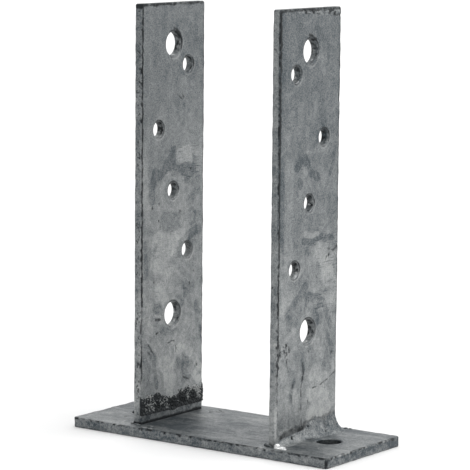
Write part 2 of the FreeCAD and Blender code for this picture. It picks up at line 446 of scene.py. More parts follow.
def strokes(places, marks, seed):
    """How strongly light and dark marks cover each place: two masks from 0 to 1.

    A mark is (half width, strength, path), light where its strength is above 0 and dark
    where it is below. It covers what lies within its half width of its path, and noise bends
    its border.
    """
    bend = 0.34 * layers(places, 8.0, seed, 3) + 0.15 * waves(places, 1.8, seed + 9)
    light, dark = np.zeros(len(places)), np.zeros(len(places))
    for half, strength, path in marks:
        away = crease(places, path) / half + bend
        mask = light if strength > 0 else dark
        np.maximum(mask, abs(strength) * fade(away, 1.15, 0.8), out=mask)
    return light, dark


# ---------------------------------------------------------------- node materials

class Nodes:
    """Adds nodes to a tree and links them as they are made."""

    def __init__(self, tree):
        self.tree = tree

    def add(self, kind, settings=None, **inputs):
        """Make a node. An input is a value, or a socket to link from."""
        node = self.tree.nodes.new(kind)
        for name, value in (settings or {}).items():
            setattr(node, name, value)
        for name, value in inputs.items():
            socket = self.find(node.inputs, name)
            if isinstance(value, bpy.types.NodeSocket):
                self.tree.links.new(value, socket)
            else:
                socket.default_value = value
        return node

    @staticmethod
    def find(sockets, name):
        """The enabled socket of that name, written with _ for spaces, or of that number."""
        if name.startswith("n") and name[1:].isdigit():
            return sockets[int(name[1:])]
        wanted = name.replace("_", " ")
        return next(s for s in sockets if s.name == wanted and s.enabled)

    def math(self, kind, a, b=0.0, clamp=False):
        """One sum of two numbers."""
        return self.add("ShaderNodeMath", {"operation": kind, "use_clamp": clamp},
                        n0=a, n1=b).outputs[0]

    def scale_add(self, value, scale, more):
        """A number scaled, with another added."""
        return self.add("ShaderNodeMath", {"operation": "MULTIPLY_ADD"}, n0=value, n1=scale,
                        n2=more).outputs[0]

    def noise(self, vector, scale, detail=2.0, roughness=0.5, twist=0.0):
        """Noise from 0 to 1."""
        return self.add("ShaderNodeTexNoise", Vector=vector, Scale=scale, Detail=detail,
                        Roughness=roughness, Distortion=twist).outputs[0]

    def weigh(self, parts):
        """The weighted sum of several noises, each taken from its middle of one half."""
        total = -0.5 * sum(weight for _, weight in parts)
        for value, weight in parts:
            total = self.scale_add(value, weight, total)
        return total

    def stretch(self, vector, scale):
        """The same place with each axis scaled."""
        return self.add("ShaderNodeMapping", Vector=vector, Scale=scale).outputs[0]

    def ramp(self, value, start, end, low=0.0, high=1.0):
        """A value carried evenly from one range to another, and held at its ends."""
        return self.add("ShaderNodeMapRange", {"clamp": True}, Value=value, From_Min=start,
                        From_Max=end, To_Min=low, To_Max=high).outputs[0]

    def blend(self, share, a, b, kind="MIX"):
        """A colour between a and b."""
        node = self.tree.nodes.new("ShaderNodeMix")
        node.data_type = "RGBA"
        node.blend_type = kind
        for socket, value in zip((node.inputs[0], node.inputs[6], node.inputs[7]), (share, a, b)):
            if isinstance(value, bpy.types.NodeSocket):
                self.tree.links.new(value, socket)
            else:
                socket.default_value = value
        return node.outputs[2]

    def mask(self, name):
        """A number stored on the surface."""
        return self.add("ShaderNodeAttribute", {"attribute_name": name}).outputs["Fac"]


def new_group(name, inputs, outputs):
    """An empty shader group: its node helper, its input sockets and its output node."""
    tree = bpy.data.node_groups.new(name, "ShaderNodeTree")
    for label, kind, default in inputs:
        socket = tree.interface.new_socket(label, in_out="INPUT", socket_type=kind)
        if default is not None:
            socket.default_value = default
    for label, kind in outputs:
        tree.interface.new_socket(label, in_out="OUTPUT", socket_type=kind)
    given = tree.nodes.new("NodeGroupInput")
    result = tree.nodes.new("NodeGroupOutput")
    return Nodes(tree), given.outputs, result


def zinc_group():
    """Mottled zinc: a tone from 0 to 1, a height for the bump and a roughness.

    The tone adds broad clouds, swirls, blotches and broken dark contour lines, whose swing is
    Blotch, to a fine grain, whose swing is Grain, and streaks drawn along one axis, whose
    swing is Streak.
    """
    name = "Mottled zinc"
    if name in bpy.data.node_groups:
        return bpy.data.node_groups[name]
    nodes, given, result = new_group(
        name,
        [("Place", "NodeSocketVector", None), ("Drawn Place", "NodeSocketVector", None),
         ("Middle", "NodeSocketFloat", 0.5), ("Blotch", "NodeSocketFloat", 1.0),
         ("Grain", "NodeSocketFloat", 1.0), ("Streak", "NodeSocketFloat", 0.5)],
        [("Tone", "NodeSocketFloat"), ("Height", "NodeSocketFloat"),
         ("Roughness", "NodeSocketFloat")])
    place, drawn = given["Place"], given["Drawn Place"]
    clouds = nodes.noise(place, 34.0, 5.0, 0.6, 1.2)
    swirls = nodes.noise(place, 88.0, 6.0, 0.66, 2.2)
    spots = nodes.noise(place, 250.0, 5.0, 0.7, 0.6)
    streaks = nodes.noise(drawn, 300.0, 4.0, 0.65, 0.4)
    grain = nodes.noise(place, 1250.0, 2.0, 0.7)
    contour = nodes.math("ABSOLUTE", nodes.math("SUBTRACT", swirls, 0.47))
    line = nodes.ramp(contour, 0.0, 0.014, -0.26, 0.0)
    line = nodes.math("MULTIPLY", line, nodes.ramp(clouds, 0.45, 0.62))
    blotch = nodes.weigh([(clouds, 0.85), (swirls, 0.95), (spots, 0.85)])
    blotch = nodes.math("MULTIPLY", nodes.math("ADD", blotch, line), given["Blotch"])
    fine = nodes.math("MULTIPLY", nodes.weigh([(grain, 1.3)]), given["Grain"])
    fine = nodes.math("ADD", fine, nodes.math("MULTIPLY", nodes.weigh([(streaks, 1.0)]),
                                              given["Streak"]))
    tone = nodes.math("ADD", nodes.math("ADD", blotch, fine), given["Middle"], clamp=True)
    height = nodes.weigh([(spots, 0.8), (grain, 0.5), (streaks, 0.35)])
    rough = nodes.ramp(spots, 0.3, 0.7, 0.38, 0.58)
    for label, socket in (("Tone", tone), ("Height", height), ("Roughness", rough)):
        nodes.tree.links.new(socket, result.inputs[label])
    return nodes.tree


def pit_group():
    """Small pits: 1 inside a spot and 0 outside. Density is the share of cells with a spot."""
    name = "Zinc pits"
    if name in bpy.data.node_groups:
        return bpy.data.node_groups[name]
    nodes, given, result = new_group(
        name,
        [("Place", "NodeSocketVector", None), ("Density", "NodeSocketFloat", 0.25),
         ("Scale", "NodeSocketFloat", 260.0)],
        [("Pit", "NodeSocketFloat")])
    bent = nodes.noise(given["Place"], 900.0, 2.0)
    place = nodes.add("ShaderNodeVectorMath", {"operation": "MULTIPLY_ADD"},
                      n0=nodes.add("ShaderNodeCombineXYZ", X=bent, Y=bent, Z=bent).outputs[0],
                      n1=(0.0012, 0.0012, 0.0012), n2=given["Place"]).outputs[0]
    cell = nodes.add("ShaderNodeTexVoronoi", Vector=place, Scale=given["Scale"])
    chance = nodes.add("ShaderNodeSeparateColor", Color=cell.outputs["Color"]).outputs[0]
    chosen = nodes.math("LESS_THAN", chance, given["Density"])
    size = nodes.ramp(chance, 0.0, 0.25, 0.10, 0.24)
    inside = nodes.math("SUBTRACT", size, cell.outputs["Distance"])
    spot = nodes.math("MULTIPLY", nodes.ramp(inside, 0.0, 0.07), chosen)
    nodes.tree.links.new(spot, result.inputs["Pit"])
    return nodes.tree


def new_material(name):
    """An empty node material, its node helper and its output node."""
    material = bpy.data.materials.new(name)
    material.use_nodes = True
    material.node_tree.nodes.clear()
    nodes = Nodes(material.node_tree)
    return material, nodes, nodes.add("ShaderNodeOutputMaterial")


def opaque(values):
    """A colour property as a colour with alpha."""
    return (*values, 1.0)


def zinc_material(name, colours, draw, middle, blotch, grain, streak, rough, pits, rise=0.0):
    """Hot-dip zinc over its masks, streaked along the axis that draw scales down.

    Bright and stain lift and lower the tone behind torn edges, and bright also carries painted
    highlights. shade lowers it evenly as painted shade, brushed lays short level scratches, and
    pore opens more pits, each painted dark as painted shade in it. The dark mask covers the coat
    with painted shade and with dark marks, and glint covers it with painted highlights. rise
    says how much lighter and more blotched the coat is at the foot than on top.
    """
    material, nodes, output = new_material(name)
    place = nodes.add("ShaderNodeTexCoord").outputs["Object"]
    height = nodes.add("ShaderNodeSeparateXYZ", Vector=place).outputs[2]
    low_down = nodes.ramp(height, 0.21, 0.05)
    coat = nodes.add(
        "ShaderNodeGroup", {"node_tree": zinc_group()}, Place=place,
        Drawn_Place=nodes.stretch(place, draw), Grain=grain,
        Streak=streak, Middle=nodes.scale_add(low_down, 0.13 * rise, middle),
        Blotch=nodes.scale_add(low_down, 0.85 * rise * blotch, blotch))
    tone = coat.outputs["Tone"]
    ragged = nodes.weigh([(nodes.noise(place, 520.0, 4.0, 0.7), 1.0),
                          (nodes.noise(place, 170.0, 3.0, 0.6, 1.0), 0.8)])
    for label, lift in (("bright", 0.23), ("stain", -0.21)):
        mask = nodes.mask(label)
        torn = nodes.ramp(nodes.math("ADD", mask, ragged), 0.15, 0.95)
        cover = nodes.math("MULTIPLY", torn, nodes.ramp(mask, 0.02, 0.35))
        tone = nodes.scale_add(cover, lift, tone)
    tone = nodes.scale_add(nodes.mask("shade"), -0.3, tone)
    ruled = nodes.noise(nodes.stretch(place, (110.0, 110.0, 1500.0)), 1.0, 2.0, 0.6, 0.2)
    dashes = nodes.math("MULTIPLY", nodes.ramp(ruled, 0.55, 0.68, 0.05, -0.34),
                        nodes.mask("brushed"))
    tone = nodes.math("ADD", tone, dashes, clamp=True)
    body = nodes.blend(tone, opaque(colours.zinc_dark), opaque(colours.zinc_light))
    hollow = nodes.add("ShaderNodeGroup", {"node_tree": pit_group()}, Place=place,
                       Density=nodes.scale_add(nodes.mask("pore"), 0.75, pits)).outputs["Pit"]
    # Painted shade: the dark mask lays the near-black colour in joints, bores, creases and along
    # edges, and on dark marks.
    soot = nodes.mask("soot")
    torn = nodes.ramp(nodes.scale_add(ragged, 0.45, soot), 0.15, 0.95)
    dark = nodes.math("MULTIPLY", torn, nodes.ramp(soot, 0.02, 0.25))
    # Each pit is painted dark, as painted shade in it.
    dark = nodes.math("MAXIMUM", dark, nodes.math("MULTIPLY", hollow, 0.8))
    body = nodes.blend(dark, body, opaque(colours.soot))
    # Painted highlights: the glint mask lays the near-white glint colour.
    glint = nodes.mask("glint")
    body = nodes.blend(nodes.ramp(glint, 0.3, 0.9), body, opaque(colours.glint))
    relief = nodes.math("SUBTRACT", coat.outputs["Height"], hollow)
    bump = nodes.add("ShaderNodeBump", Strength=0.6, Distance=0.00035, Height=relief)
    gloss = nodes.math("ADD", coat.outputs["Roughness"], rough - 0.45)
    gloss = nodes.scale_add(glint, -0.3, gloss)
    surface = nodes.add("ShaderNodeBsdfPrincipled", Base_Color=body, Roughness=gloss,
                        Metallic=0.62, Normal=bump.outputs[0])
    nodes.tree.links.new(surface.outputs[0], output.inputs[0])
    return material


def crust_material(colours):
    """Porous ash crust: near black in its hollows as painted shade, grey and dusty on its crests.
    """
    material, nodes, output = new_material("crust_ash")
    place = nodes.add("ShaderNodeTexCoord").outputs["Object"]
    coarse = nodes.noise(place, 900.0, 4.0, 0.75)
    crest = nodes.mask("crest")
    swing = nodes.math("MULTIPLY", nodes.weigh([(coarse, 1.3)]), nodes.ramp(crest, 0.0, 0.25))
    level = nodes.math("ADD", crest, swing, clamp=True)
    # Painted shade: where the crest mask is low, the crust takes the near-black shade colour.
    body = nodes.blend(nodes.ramp(level, 0.2, 0.7), opaque(colours.soot), opaque(colours.crust))
    dust = nodes.ramp(level, 0.62, 1.0, 0.0, 0.75)
    body = nodes.blend(dust, body, opaque(colours.zinc_light))
    bump = nodes.add("ShaderNodeBump", Strength=0.9, Distance=0.0004, Height=coarse)
    surface = nodes.add("ShaderNodeBsdfPrincipled", Base_Color=body, Roughness=0.72,
                        Metallic=0.25, Normal=bump.outputs[0])
    nodes.tree.links.new(surface.outputs[0], output.inputs[0])
    return material


FINISHES = {
    "bar_coat": {"draw": (1.0, 1.0, 0.12), "middle": 0.375, "blotch": 0.52, "grain": 0.85,
                 "streak": 0.22, "rough": 0.47, "pits": 0.08, "rise": 1.0},
    "plate_coat": {"draw": (0.14, 1.0, 1.0), "middle": 0.27, "blotch": 0.80, "grain": 0.85,
                   "streak": 0.55, "rough": 0.45, "pits": 0.05},
    "weld_coat": {"draw": (1.0, 1.0, 1.0), "middle": 0.33, "blotch": 0.80, "grain": 1.20,
                  "streak": 0.30, "rough": 0.50, "pits": 0.12},
}


def shared_material(name):
    """The material of that name, made on first use."""
    if name in bpy.data.materials:
        return bpy.data.materials[name]
    colours = bpy.context.scene.post_base_colours
    if name == "crust_ash":
        return crust_material(colours)
    return zinc_material(name, colours, **FINISHES[name])


# ---------------------------------------------------------------- coated slabs

class Skin:
    """A slab's bare surface, and what its coat and its masks are worked out from.

    The front is the slab's upper broad face. Between its two broad faces are its wall, the
    narrow side all round, and its bores. A mask is a number for every point; zinc_material
    says what each mask does.
    """

    def __init__(self, slab, points, seed):
        self.points, self.faces, self.seed = points, slab.faces, seed
        self.x, self.y, self.z = points.T
        self.to_edge, self.to_rim = slab.to_edge, slab.to_rim
        self.normals = normals_of(points, slab.faces)
        self.front = slab.face > 0
        self.between = slab.face == 0
        self.wall = self.between & (slab.to_edge < 1)

    def noise(self, size, number, count=2, stretch=1):
        """Layered noise over the points, drawn out by stretch. The number picks a pattern."""
        return layers(self.points / stretch, size, self.seed + number, count)

    def wave(self, size, number):
        """Smooth noise over the points. The number picks a pattern."""
        return waves(self.points, size, self.seed + number)

    def rim_ring(self):
        """The ring of zinc round a hole: a bell curve about a line 1.7 mm from its wall."""
        return np.exp(-(self.to_rim - 1.7) ** 2)


# ---------------------------------------------------------------- bars

# Marks on a bar's front: half width, strength, then the points (across, up) they run through.
LEFT_MARKS = [
    # Dark.
    (3.4, -0.95, [(0.4, 163), (-3, 158), (-8, 153), (-15, 150)]),
    (5.0, -0.9, [(-2, 156.5), (1, 153)]), (3.4, -1.0, [(-17, 152), (-19.5, 145), (-19.7, 137)]),
    (4.2, -0.9, [(5, 152), (12, 151), (18.5, 152)]), (3.0, -0.8, [(14.5, 148), (13.5, 146)]),
    (3.4, -0.6, [(16, 134), (21, 136.5), (25, 139)]), (5.6, -0.65, [(-8, 122), (3, 121.6)]),
    (1.1, -0.8, [(16, 127), (19.4, 128.4), (22, 125), (20.6, 120), (17.4, 119)]),
    (3.0, -0.95, [(26, 115.5), (17, 113), (8, 109)]), (1.6, -0.8, [(-17.1, 110), (-17, 106)]),
    (1.8, -0.8, [(11.4, 82), (12.5, 77)]), (4.0, -0.6, [(16, 86), (18.5, 81)]),
    (3.0, -0.9, [(-15.5, 73), (-12, 70.5)]), (2.6, -0.7, [(5, 76), (9, 72)]),
    (2.6, -0.7, [(24, 71), (25, 62)]), (2.6, -0.9, [(-24.5, 50.5), (-20, 46.5), (-17, 42)]),
    (3.8, -0.55, [(-25, 45), (-24, 30)]), (2.0, -0.95, [(-18, 43), (-16.8, 36), (-14.8, 26)]),
    (5.0, -1.0, [(9.6, 38.6), (13, 36)]), (3.4, -0.55, [(12.4, 33), (12.8, 28)]),
    (1.5, -1.0, [(10.5, 26.2), (14, 27.6), (17.3, 27.3)]), (2.2, -0.7, [(27.5, 56), (29, 49)]),
    (2.6, -0.5, [(-9, 58), (-3, 57), (2, 58.5)]), (2.0, -0.7, [(-26, 112), (-25, 92)]),
    (5.0, -0.4, [(6, 191), (9, 181)]), (4.0, -0.35, [(4, 212), (2, 203)]),
    (3.0, -0.35, [(-20, 197), (-18, 184)]), (4.0, -0.35, [(19, 237), (21, 228)]),
    (3.0, -0.4, [(20, 214), (16, 208)]),
    # Light.
    (3.2, 0.85, [(5.5, 162), (15, 163.2), (16.4, 157.8), (12, 160.4), (5.8, 158)]),
    (2.4, 0.6, [(18, 163.5), (23, 161)]),
    (2.2, 0.6, [(-10.5, 143), (-6, 149), (1, 150), (6, 148)]),
    (2.2, 0.55, [(-11, 142), (-10, 136), (-7, 132)]),
    (5.6, 0.85, [(-15, 112), (-2, 110), (10, 112.4)]), (7.0, 0.85, [(-14, 109), (-2, 108)]),
    (5.5, 0.85, [(-16, 99), (-8, 94)]), (3.0, 0.6, [(-26, 156), (-26, 140), (-24, 124)]),
    (3.6, 0.55, [(14.5, 119.8), (13.5, 116)]), (4.6, 0.6, [(-12, 84), (-8, 79)]),
    (1.0, 1.0, [(-16.8, 68.2), (-11.8, 67.4)]), (3.2, 0.9, [(5, 45.8), (11, 45), (18, 42)]),
    (2.6, 0.95, [(21.8, 38.5), (26.5, 33)]), (5.0, 0.85, [(-8, 39), (-4, 37), (-3, 27)]),
    (4.0, 0.8, [(-1, 30), (-2, 21)]), (2.8, 0.9, [(21.9, 28), (26.6, 24.5)]),
    (3.4, 0.45, [(-21, 62), (-22, 56)]), (3.4, 0.45, [(15, 62), (20, 59)]),
    (3.0, 0.5, [(1, 50), (8, 50)])]
RIGHT_MARKS = [
    # Dark.
    (3.2, -0.95, [(-2.6, 94), (-8.3, 88.4), (-15.1, 83.3), (-19, 78), (-18.2, 71.5)]),
    (3.6, -0.55, [(-8, 84), (-9, 78)]), (2.0, -0.6, [(-1.3, 86), (0.5, 80)]),
    (2.5, -0.95, [(-0.2, 87.4), (9.2, 86.2), (16.3, 81.9), (19.5, 74.8), (23.5, 68)]),
    (2.4, -0.7, [(21, 62), (22.5, 57)]), (2.0, -0.85, [(-5, 51), (-3.6, 47), (-5, 41)]),
    (1.8, -0.9, [(-12.4, 41), (-15, 36.6), (-16.2, 29.5)]),
    (2.7, -1.0, [(20.3, 51.5), (17, 44.5)]), (1.5, -0.95, [(21, 55), (21.8, 53.8)]),
    (4.4, -0.65, [(-25, 19), (-17, 18), (-8, 17)]), (2.6, -0.85, [(-8.8, 165), (-12, 161)]),
    (3.2, -0.9, [(-4, 166), (-2, 162)]), (2.8, -0.8, [(2.5, 157), (8, 154.5)]),
    (2.3, -1.0, [(-9.5, 153.5), (-8.5, 151.5)]), (2.0, -0.7, [(24, 162), (21, 156)]),
    (2.4, -0.6, [(26, 172), (24, 166)]),
    (1.9, -1.0, [(-5, 119.3), (3.7, 118.7), (13, 120.4), (25, 118.6)]),
    (4.6, -0.8, [(-11, 82), (-13, 75)]), (5.0, -0.7, [(6, 81), (12, 74)]),
    (3.4, -0.7, [(24, 54), (22, 44)]), (2.8, -0.6, [(2, 117), (-1, 113)]),
    (1.0, -0.9, [(-9.1, 98.5), (-9, 95.5)]), (3.6, -0.45, [(10, 196), (13, 184)]),
    (4.0, -0.4, [(-10, 180), (-8, 171)]), (3.0, -0.35, [(-16, 206), (-14, 196)]),
    (4.0, -0.3, [(6, 237), (12, 231)]), (2.6, -0.5, [(-27, 158), (-27, 108)]),
    # Light.
    (4.2, 0.42, [(-20, 164), (-19.8, 149), (-20, 104)]), (2.0, 0.7, [(-4.2, 160.5), (-3, 158)]),
    (1.2, 0.9, [(-1.5, 169.6), (1, 169.2)]),
    (1.8, 0.9, [(-3.3, 123.6), (2.5, 121.4), (9.5, 122.4)]),
    (6.5, 0.85, [(11, 112), (20, 107), (20, 97)]), (4.0, 0.6, [(26, 93), (26, 83)]),
    (5.5, 0.9, [(8, 42), (17, 38)]), (8.0, 0.95, [(10, 31), (17, 22)]),
    (5.0, 0.85, [(4, 19), (10, 22)]), (4.0, 0.6, [(-23, 46), (-22, 34)]),
    (3.4, 0.45, [(-24, 96), (-23, 86)]), (3.0, 0.6, [(-12, 34), (-10, 25)]),
    (2.4, 0.5, [(11, 222), (13, 214)]), (3.2, 0.5, [(10, 60), (14, 50)]),
    (2.4, 0.5, [(-13, 66), (-12, 60)]), (3.0, 0.4, [(4, 142), (14, 136)])]

# Creases in a bar's coat: half width, then the points (across, up) it runs through.
LEFT_CREASES = [
    (0.5, [(-23, 52), (-20, 48), (-17.5, 45.6)]), (0.5, [(-24, 48), (-20.5, 45.4)]),
    (0.9, [(-16.2, 65.8), (-11.5, 65.4)]), (0.6, [(3.2, 48), (4.2, 46.2), (3, 44.2)]),
    (0.8, [(11, 28), (16.5, 26)]), (0.7, [(-15.5, 57.5), (-12, 58.4), (-9, 56)]),
    (0.9, [(23.2, 35.6), (24.6, 33.4)]), (1.0, [(-29.6, 66), (-29.8, 60)]),
    (1.0, [(28.6, 55), (29.6, 50)]), (0.7, [(17, 152), (22, 151.6)]),
    (0.8, [(29.4, 148), (29.6, 141)]), (0.8, [(29.6, 100), (29.8, 92)]),
    (2.0, [(0.6, 234.9), (3.4, 232.6), (6.6, 229)]), (0.9, [(-13.2, 133.8), (-13.1, 133.2)]),
    (1.0, [(-19.7, 132.4), (-19.6, 131.4)]), (1.0, [(7, 127.6), (7.1, 126.9)]),
    (0.7, [(-13.9, 124), (-13.8, 123.5)]), (0.8, [(-12.4, 120), (-12.3, 119.4)]),
    (0.7, [(22.9, 93.3), (22.7, 92.6)]), (0.7, [(20.6, 91), (20.5, 90.4)]),
    (0.7, [(-18, 88.6), (-17.9, 88)]), (0.8, [(16.7, 84.3), (16.7, 83.6)]),
    (0.5, [(-4.4, 50.3), (-0.6, 51.4), (2.3, 51)]), (0.6, [(3, 197), (8.6, 193.4)]),
    (0.6, [(8.4, 197.6), (10.4, 192.4)])]
RIGHT_CREASES = [
    (1.3, [(-4.5, 50), (-3.4, 44)]), (0.8, [(-4.2, 42), (-6, 35), (-5.4, 31)]),
    (0.7, [(-5.2, 28), (-5.8, 20), (-4.6, 13)]), (1.2, [(-12.4, 40.4), (-14.6, 37.2)]),
    (0.9, [(-15.6, 33), (-15.2, 29)]), (0.7, [(-7.4, 24), (-7, 18)]),
    (0.8, [(-20.6, 55), (-20, 51), (-18.6, 46.5)]),
    (0.6, [(6, 34), (14, 34.9), (21, 37), (28, 40.2)]),
    (1.2, [(-28.5, 63), (-27.4, 59), (-28.6, 55)]), (1.1, [(-29.8, 52), (-28, 50)]),
    (0.9, [(20, 112.6), (25.5, 111.4), (29.4, 114.4)]), (0.9, [(17.4, 107), (18.4, 108.4)]),
    (0.8, [(20.4, 108.8), (21, 109.6)]), (0.9, [(1.2, 56.4), (1.8, 55.4)]),
    (0.9, [(1.4, 27), (1.6, 25.6)]), (0.8, [(-9.1, 98), (-9, 95.5)]),
    (1.8, [(-1.4, 235.2), (1.4, 234.4), (4.6, 232.6)]), (0.9, [(8.2, 98.8), (8.4, 97.8)]),
    (0.8, [(24.6, 52.6), (25, 52)]), (0.8, [(22.2, 62), (22.3, 61.2)]),
    (0.9, [(-23.6, 60), (-23, 59.3)]), (0.9, [(-18.4, 59.8), (-18, 59)]),
    (0.8, [(-27, 57.8), (-26.2, 57)]), (0.8, [(-21, 62.6), (-20.4, 62)]),
    (1.1, [(29.2, 204), (29.5, 197)])]


def bar_blocks(holes):
    """The block of grid cells round each hole of a bar, a little wider than the hole."""
    inner, outer, margin = 8.0, 20.0, 2.0
    blocks = []
    for y, z, radius in holes:
        if abs(y) < 1:
            span = (-inner, inner)
        else:
            span = tuple(sorted((math.copysign(inner, y), math.copysign(outer, y))))
        up = radius + margin
        blocks.append((span, (z - up, z + up)))
    return blocks


def bare_bar(low, high, holes, sizes):
    """A bar's slab, laid out as (y, z) across its front and x through it.

    Its foot goes a little into the plate, and more grid lines lie along its edges.
    """
    blocks = bar_blocks(holes)
    arc = arc_steps(sizes.edge_round / MM)
    more = np.array([1.5, 2.2, 3.0])
    y_stops = np.concatenate([low[1] + arc, high[1] - arc, low[1] + more, high[1] - more,
                              np.ravel([block[0] for block in blocks])])
    z_stops = np.concatenate([[low[2] - 0.4, low[2] + 2.0], high[2] - arc, high[2] - more,
                              np.ravel([block[1] for block in blocks])])
    step = sizes.step / MM
    return Slab(spread(y_stops, step), spread(z_stops, step), holes, blocks, (low[0], high[0]),
                sizes, sizes.bar_corner / MM, [(-1, 1), (1, 1)], True)


class BarSkin(Skin):
    """One upright's surface, whose near edge is the one towards -Y.

    The coat differs between the bars, so some features below belong to the left or the right
    one alone.
    """

    def __init__(self, label, side, sizes):
        self.low, self.high = box_mm(label + "_upright")
        self.holes = bar_holes(side)
        self.left, self.right, self.sizes = side < 0, side > 0, sizes
        slab = bare_bar(self.low, self.high, self.holes, sizes)
        super().__init__(slab, slab.points[:, [2, 0, 1]], 40 + 7 * side)
        self.flat = slab.points[:, :2]
        self.up_facing = self.normals[:, 2]
        self.bore = fade(self.to_rim, 0.5, 0.0)
        self.speckle = self.noise(2.4, 29)
        self.crumb = self.noise(1.6, 67)
        self.grit = self.noise(1.3, 59, stretch=(1, 2.0, 0.9))
        self.scar = self.scars()
        self.burr = self.burr_strip()
        # A cluster of pits by the right bar's near edge.
        self.cluster = self.right * self.front * oval(self.flat, (-23, 58.5), (7, 5.5), 1.1, 0.6)

    def scars(self):
        """How deep each point lies in a crease, from 0 to 1. Noise bends a crease's border."""
        bend, swell = 0.35 * self.wave(1.6, 53), 0.8 * self.wave(4.0, 55)
        depth = np.zeros(len(self.points))
        for half, path in LEFT_CREASES if self.left else RIGHT_CREASES:
            away = crease(self.flat, path) + bend + half * swell
            depth = np.maximum(depth, self.front * fade(away, half, 0.2 * half))
        return depth * np.clip(1.0 + 0.8 * self.noise(3.0, 57), 0.3, 1)

    def burr_strip(self):
        """The rough strip under the right bar's top edge, deeper towards the far edge."""
        top = self.high[2]
        brim = top - 3.4 - 2.2 * fade(self.y, -10, 24) + 0.8 * self.wave(5.0, 65)
        strip = fade(self.z, brim, brim + 1) * fade(self.z, top - 0.6, top - 1.4)
        return self.right * self.front * strip * fade(self.y, -26, -6)

    def hole_bearing(self):
        """Unit vector from the nearest hole to each point, seen square on to the front."""
        away = self.flat[:, None] - self.holes[None, :, :2]
        nearest = (np.linalg.norm(away, axis=2) - self.holes[:, 2]).argmin(axis=1)
        away = away[np.arange(len(away)), nearest]
        return away / np.maximum(np.linalg.norm(away, axis=1, keepdims=True), 1e-6)

    def coat(self):
        """The coat's height.

        It is the sum of broad waves, narrow runs down the bar, beads along the long edges, a
        ring round each hole, lumps in the bores and the burr, less the creases. The right
        bar's second hole from below is the most filled.
        """
        sizes, top = self.sizes, self.high[2]
        height = sizes.coat_wave / MM * self.noise(26.0, 0, 4)
        height += sizes.coat_run / MM * self.noise(4.2, 5, 3, (1, 1, 11))
        beading = self.noise(7.0, 11, 3, (2, 2, 1)) + 0.15
        height += sizes.edge_bead / MM * beading * fade(self.to_edge, 2.4, 0.2)
        height += sizes.rim_bead / MM * self.rim_ring() * (0.7 + 0.6 * self.wave(4.0, 17))
        clogged = self.right * oval(self.flat, self.holes[1, :2], (1, 1), 8, 6)
        filling = 0.16 + 0.22 * self.noise(2.6, 19) + 0.62 * clogged
        height += filling * self.bore * self.between
        height += sizes.burr / MM * self.burr * self.noise(2.4, 23, 3)
        nibbled = fade(self.to_edge, 1.2, 0.3) * np.maximum(self.wave(2.6, 25), -0.2)
        height += sizes.nibble / MM * nibbled
        height *= fade(self.z, top + 0.05, top - 0.5)
        return height - sizes.crease / MM * self.scar

    def corner_shade(self):
        """Painted shade: a torn dark line just inside the front's edges, heavier by the near edge.
        """
        heavy = 0.75 + 0.4 * self.noise(14.0, 31) + 0.4 * self.speckle
        low_down = 0.55 + 0.7 * self.noise(7.0, 33)
        heavy *= np.where(self.z > 75, 1.0, fade(self.z, 18, 40) * low_down)
        away = np.abs(self.to_edge - 0.9 + 0.35 * self.wave(2.4, 71))
        reach = 0.9 + 0.4 * self.right * fade(self.z, 150, 200)
        line = fade(away - 0.5 * np.maximum(self.crumb, 0), reach, 0.4) * self.front
        near = 0.5 + 0.85 * fade(self.y, -20, -29)
        return line * near * (heavy + 0.15 * self.right + 0.4 * self.crumb)

    def wall_shade_and_dots(self):
        """Painted shade in broken lines along the wall's two corners, and dark dots between them.
        """
        off_middle = np.abs(self.x - (self.low[0] + self.high[0]) / 2)
        lines = fade(off_middle, 1.5, 2.2) * (0.45 + 1.6 * self.crumb)
        dots = fade(self.noise(1.2, 75), 0.3, 0.5) * (0.85 if self.left else 0.35)
        return self.wall * np.maximum(lines, dots)

    def hole_shade(self, bearing):
        """Painted shade in the bores, most on their upper side, which faces down, and painted
        shadow crescents over the holes.
        """
        upper = fade(self.up_facing, 0.35, -0.75) * (0.75 + 0.9 * self.crumb)
        lower = fade(self.up_facing, 0.9, 0.4) * (0.42 + 1.5 * self.crumb)
        above = fade(bearing @ (0.5, 0.87), 0, 0.8)
        crescent = fade(np.abs(self.to_rim - 0.9), 0.8, 0.2) * self.front
        crescent *= 0.35 + 0.45 * self.speckle + 0.45 * above
        return np.maximum.reduce([self.bore * upper, self.bore * lower, crescent])

    def top_shade(self):
        """Painted shade: a dark line under the top edge, in the burr's hollows and as a blot on the
        left corner.
        """
        top = self.high[2]
        brink = self.z + 0.5 * self.wave(3.0, 73)
        line = fade(brink, top - 2.1, top - 1.4) * self.front * (0.8 + 0.9 * self.crumb)
        away = np.hypot(self.y - self.low[1] + 0.2, 1.5 * (self.z - top + 1)) - self.crumb
        blot = self.left * fade(away, 3.4, 2.2)
        return np.maximum.reduce([0.95 * line, 0.9 * self.burr * fade(self.grit, 0.0, 0.2), blot])

    def foot_shade(self):
        """Painted shade in the joint at the foot, and on the right bar a band of it over the weld's
        toe.
        """
        foot = self.low[2]
        if self.left:
            return fade(self.z + 0.6 * self.speckle, foot + 2.2, foot + 0.8)
        toe = foot + np.interp(self.y, *np.array(RIGHT_WELD).T[:2])
        over = self.z - toe + 0.8 * self.wave(2.2, 69)
        band = fade(over, 1.8, 0.3) * fade(self.y, -29.5, -25) * np.where(self.y > 0, 0.75, 1.0)
        band *= 0.85 * self.front * (0.75 + 0.5 * self.speckle)
        return np.maximum(0.95 * fade(self.z, foot + 1.5, foot + 0.3), band)

